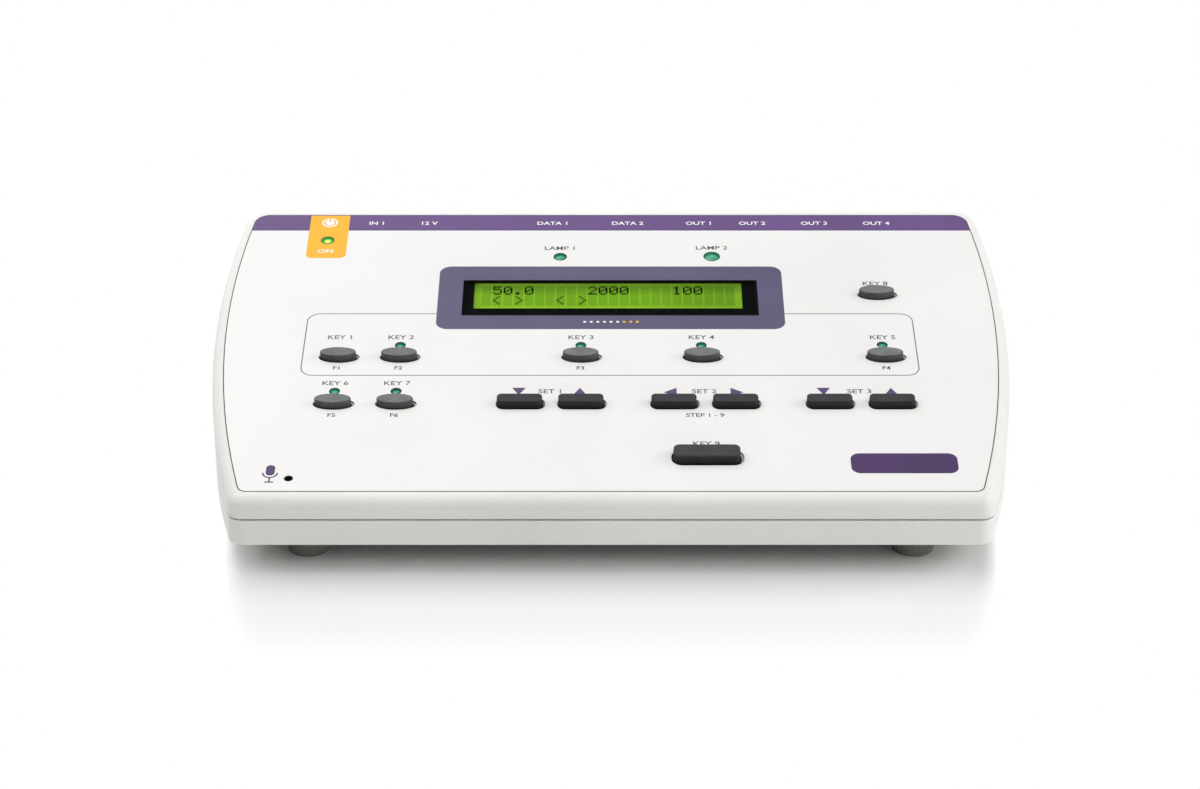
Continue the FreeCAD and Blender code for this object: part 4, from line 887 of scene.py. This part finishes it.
def displayDots():
    bm = bmesh.new()
    stepX, stepS = reading["dotPitch"]
    for (row, start), text in reading["text"].items():
        for i, letter in enumerate(text):
            x, s = cellCorner(row, start + i)
            for down, line in enumerate(glyphs[letter].split()):
                for across, bit in enumerate(line):
                    if bit == "1":
                        x0, s1 = x + across * stepX, s - down * stepS
                        tile(bm, x0, x0 + reading["dot"][0], s1 - reading["dot"][1], s1)
    film = filmTop()
    newPlate("displayDots", bm, film + reading["lift"] + inkRoot, film + 2 * reading["lift"], crystalDot)


displayFilm()
displayLip()
displayCells()
displayDots()
print("display set")


# behind: plain numbers over the sockets

rearNumbers = {"up": 9.3, "size": 2.2, "widen": 1.1, "lift": 0.03,
               "names": {"response_jack": "1", "dc_inlet": "2", "data_socket": "3", "serial_socket": "4",
                         "insert_jack": "5", "bone_jack": "6", "left_jack": "7", "right_jack": "8"}}


def rearLettering():
    bm = bmesh.new()
    axis = next(m["pos_m"] for m in frame["record"]["mounts"] if m["name"] == "response_bore")[2] / mm
    for node, text in rearNumbers["names"].items():
        a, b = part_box(node)
        addLetters(bm, text, -(a.x + b.x) / 2 / mm, axis + rearNumbers["up"], rearNumbers["size"],
                   rearNumbers["widen"], inkRoot, rearNumbers["lift"])
    newPiece("rearNumbers", bm, greyInk, rearPlace)


rearLettering()
print("rear plate numbered")


# pad-printed marks on the two halves of the rocker, in mm; the half under the bar is pressed in
rockerMarks = {"bar": (0.6, 3.2), "ring": (1.65, 1.1), "lift": 0.025, "facetArea": 30, "steps": 40}


def rockerFacet(side):
    # the place of the upper (1) or lower (-1) half of the rocker's face, y up it and z out of it
    mesh = nodes["power_rocker"].data
    pin = next(j["pos_m"] for j in frame["joints"] if j["name"] == "power_rock")[2]
    facets = [p for p in mesh.polygons if p.area > rockerMarks["facetArea"] * mm * mm
              and p.normal.y > facing and (p.center.z - pin) * side > 0]
    corners = [mesh.vertices[i].co for p in facets for i in p.vertices]
    middle = [(min(c[i] for c in corners) + max(c[i] for c in corners)) / 2 for i in range(3)]
    out = facets[0].normal
    return Matrix(((-mm, 0, 0, middle[0]), (0, -out.z * mm, out.y * mm, middle[1]),
                   (0, out.y * mm, out.z * mm, middle[2]), (0, 0, 0, 1)))


def rockerPrint():
    bm = bmesh.new()
    wide, tall = (size / 2 for size in rockerMarks["bar"])
    tile(bm, -wide, wide, -tall, tall)
    newPlate("rockerBar", bm, inkRoot, rockerMarks["lift"], whiteInk, rockerFacet(1), body="rocker")
    bm = bmesh.new()
    cutOut(bm, *(discFace(bm, 0, 0, radius, rockerMarks["steps"]) for radius in rockerMarks["ring"]))
    newPlate("rockerRing", bm, inkRoot, rockerMarks["lift"], whiteInk, rockerFacet(-1), body="rocker")


rockerPrint()
print("rocker marked")


# floor, light and camera

# White gloss board: it keeps its shade under the case and up to a little before and behind it, in an oblong
# with bowed sides, and is plain white beyond. In metres; a higher roundness gives a harder edge that way.
floorLook = {"size": 8.0, "edge": 0.1155, "bow": 0.0115, "halfBow": 0.125, "halfDepth": 0.1195,
             "roundness": (36.0, 4.0), "shadedTo": 0.5, "whiteFrom": 1.5}


def seenRay(tree):
    # 1 for what the camera, a gloss or clear plastic shows, 0 for light that falls on things
    rays = addNode(tree, "LightPath")
    seen = rays.outputs["Is Camera Ray"]
    for kind in ("Is Glossy Ray", "Is Transmission Ray"):
        seen = addNode(tree, "Math", {"operation": "MAXIMUM"}, {0: seen, 1: rays.outputs[kind]}).outputs[0]
    return seen


def studioFloor():
    bm = bmesh.new()
    bmesh.ops.create_grid(bm, x_segments=1, y_segments=1, size=floorLook["size"] / 2)
    mesh = bpy.data.meshes.new("studioFloor")
    bm.to_mesh(mesh)
    bm.free()
    floor = bpy.data.objects.new("studioFloor", mesh)
    bpy.context.scene.collection.objects.link(floor)
    material, tree, shader = startMaterial("glossBoard", {"Base Color": srgb("F0F0F0"), "Roughness": 0.08,
                                                          "IOR": 1.5})
    place = addNode(tree, "TexCoord").outputs["Object"]
    across, along = addNode(tree, "SeparateXYZ", links={0: place}).outputs[:2]
    share = addNode(tree, "Math", {"operation": "DIVIDE", 1: floorLook["halfBow"]}, {0: along}).outputs[0]
    square = addNode(tree, "Math", {"operation": "MULTIPLY"}, {0: share, 1: share}).outputs[0]
    bowed = addNode(tree, "MapRange", {"To Min": floorLook["edge"] + floorLook["bow"],
                                       "To Max": floorLook["edge"]}, {"Value": square}).outputs[0]
    shares = (addNode(tree, "Math", {"operation": "DIVIDE"}, {0: across, 1: bowed}),
              addNode(tree, "Math", {"operation": "DIVIDE", 1: floorLook["halfDepth"]}, {0: along}))
    powers = []
    for share, power in zip(shares, floorLook["roundness"]):
        part = addNode(tree, "Math", {"operation": "ABSOLUTE"}, {0: share.outputs[0]}).outputs[0]
        powers.append(addNode(tree, "Math", {"operation": "POWER", 1: power}, {0: part}).outputs[0])
    away = addNode(tree, "Math", {"operation": "ADD"}, {0: powers[0], 1: powers[1]}).outputs[0]
    share = addNode(tree, "MapRange", {"From Min": floorLook["shadedTo"], "From Max": floorLook["whiteFrom"]},
                    {"Value": away}).outputs[0]
    factor = addNode(tree, "Math", {"operation": "MULTIPLY"}, {0: share, 1: seenRay(tree)}).outputs[0]
    white = addNode(tree, "Emission", {"Color": (1, 1, 1, 1), "Strength": 1.0}).outputs[0]
    mixed = addNode(tree, "MixShader", links={0: factor, 1: shader.outputs[0], 2: white})
    output = next(n for n in tree.nodes if n.type == "OUTPUT_MATERIAL")
    tree.links.new(mixed.outputs[0], output.inputs["Surface"])
    mesh.materials.append(material)


# levels of the sky, dark below skyFrom (a sine of height); lamps in metres and watts
lights = {"skyFrom": 0.42, "zenith": 0.56, "backdropTop": 0.74, "backdropBlur": 0.06, "ceiling": 0.2,
          "top": {"size": (1.4, 0.8), "place": (-0.42, 0.2, 1.1), "aim": (0, 0, 0.03), "watts": 8.1},
          "front": {"size": (0.9, 0.5), "place": (0.4, -0.75, 1.0), "aim": (0, -0.05, 0.03), "watts": 2.6},
          "low": {"size": (1.2, 0.12), "place": (0.85, -1.1, 0.07), "aim": (0, -0.08, 0.02), "watts": 3.4},
          "left": {"size": (0.8, 0.5), "place": (-1.05, 0.05, 0.75), "aim": (0, 0, 0.03), "watts": 2.3},
          "right": {"size": (0.8, 0.5), "place": (1.15, 0.0, 0.55), "aim": (0, 0, 0.03), "watts": 5.8},
          "back": {"size": (1.2, 0.3), "place": (-0.25, 1.2, 0.28), "aim": (0, 0.08, 0.03), "watts": 3.6}}


def areaLight(name, look):
    light = bpy.data.lights.new(name, "AREA")
    light.shape = "RECTANGLE"
    light.size, light.size_y = look["size"]
    light.energy = look["watts"]
    lamp = bpy.data.objects.new(name, light)
    lamp.location = look["place"]
    lamp.rotation_euler = (Vector(look["aim"]) - lamp.location).to_track_quat("-Z", "Y").to_euler()
    bpy.context.scene.collection.objects.link(lamp)


def studioWorld():
    # white backdrop for what is seen, a soft sky that is brighter overhead for what lights the case
    world = bpy.data.worlds.new("studioWorld")
    world.use_nodes = True
    tree = world.node_tree
    tree.nodes.clear()
    way = addNode(tree, "TexCoord").outputs["Generated"]
    height = addNode(tree, "SeparateXYZ", links={0: way}).outputs[2]
    sky = addNode(tree, "MapRange", {"From Min": lights["skyFrom"], "To Max": lights["zenith"]},
                  {"Value": height}).outputs[0]
    top, blur = lights["backdropTop"], lights["backdropBlur"]
    gloss = addNode(tree, "MapRange", {"From Min": top - blur, "From Max": top + blur, "To Min": 1.0,
                                       "To Max": lights["ceiling"]}, {"Value": height}).outputs[0]
    camera = addNode(tree, "LightPath").outputs["Is Camera Ray"]
    backdrop = addNode(tree, "Math", {"operation": "MAXIMUM"}, {0: gloss, 1: camera}).outputs[0]
    level = addNode(tree, "Mix", {"data_type": "FLOAT"}, {0: seenRay(tree), 2: sky, 3: backdrop})
    shine = addNode(tree, "Background", {"Color": (1, 1, 1, 1)}, {"Strength": level.outputs[0]})
    addNode(tree, "OutputWorld", links={"Surface": shine.outputs[0]})
    bpy.context.scene.world = world


# millimetres, metres and degrees; the case's middle stands a little right of the frame's, in pixels
cameraLook = {"lens": 87.15, "sensor": 36.0, "distance": 0.960, "pitch": 25.0,
              "target": (0.0, -0.0280, 0.0384), "centreX": 611, "width": 1200}


def photoCamera():
    camera = bpy.data.cameras.new("photoCamera")
    camera.lens = cameraLook["lens"]
    camera.sensor_width = cameraLook["sensor"]
    camera.shift_x = (cameraLook["width"] / 2 - cameraLook["centreX"]) / cameraLook["width"]
    pitch = math.radians(cameraLook["pitch"])
    back = Vector((0, -math.cos(pitch), math.sin(pitch)))
    holder = bpy.data.objects.new("photoCamera", camera)
    holder.location = Vector(cameraLook["target"]) + back * cameraLook["distance"]
    holder.rotation_euler = (math.pi / 2 - pitch, 0, 0)
    bpy.context.scene.collection.objects.link(holder)
    bpy.context.scene.camera = holder


studioFloor()
studioWorld()
for name in ("top", "front", "low", "left", "right", "back"):
    areaLight(name + "Light", lights[name])
photoCamera()
bpy.context.scene.view_settings.view_transform = "Standard"
print("floor, lights and camera set")
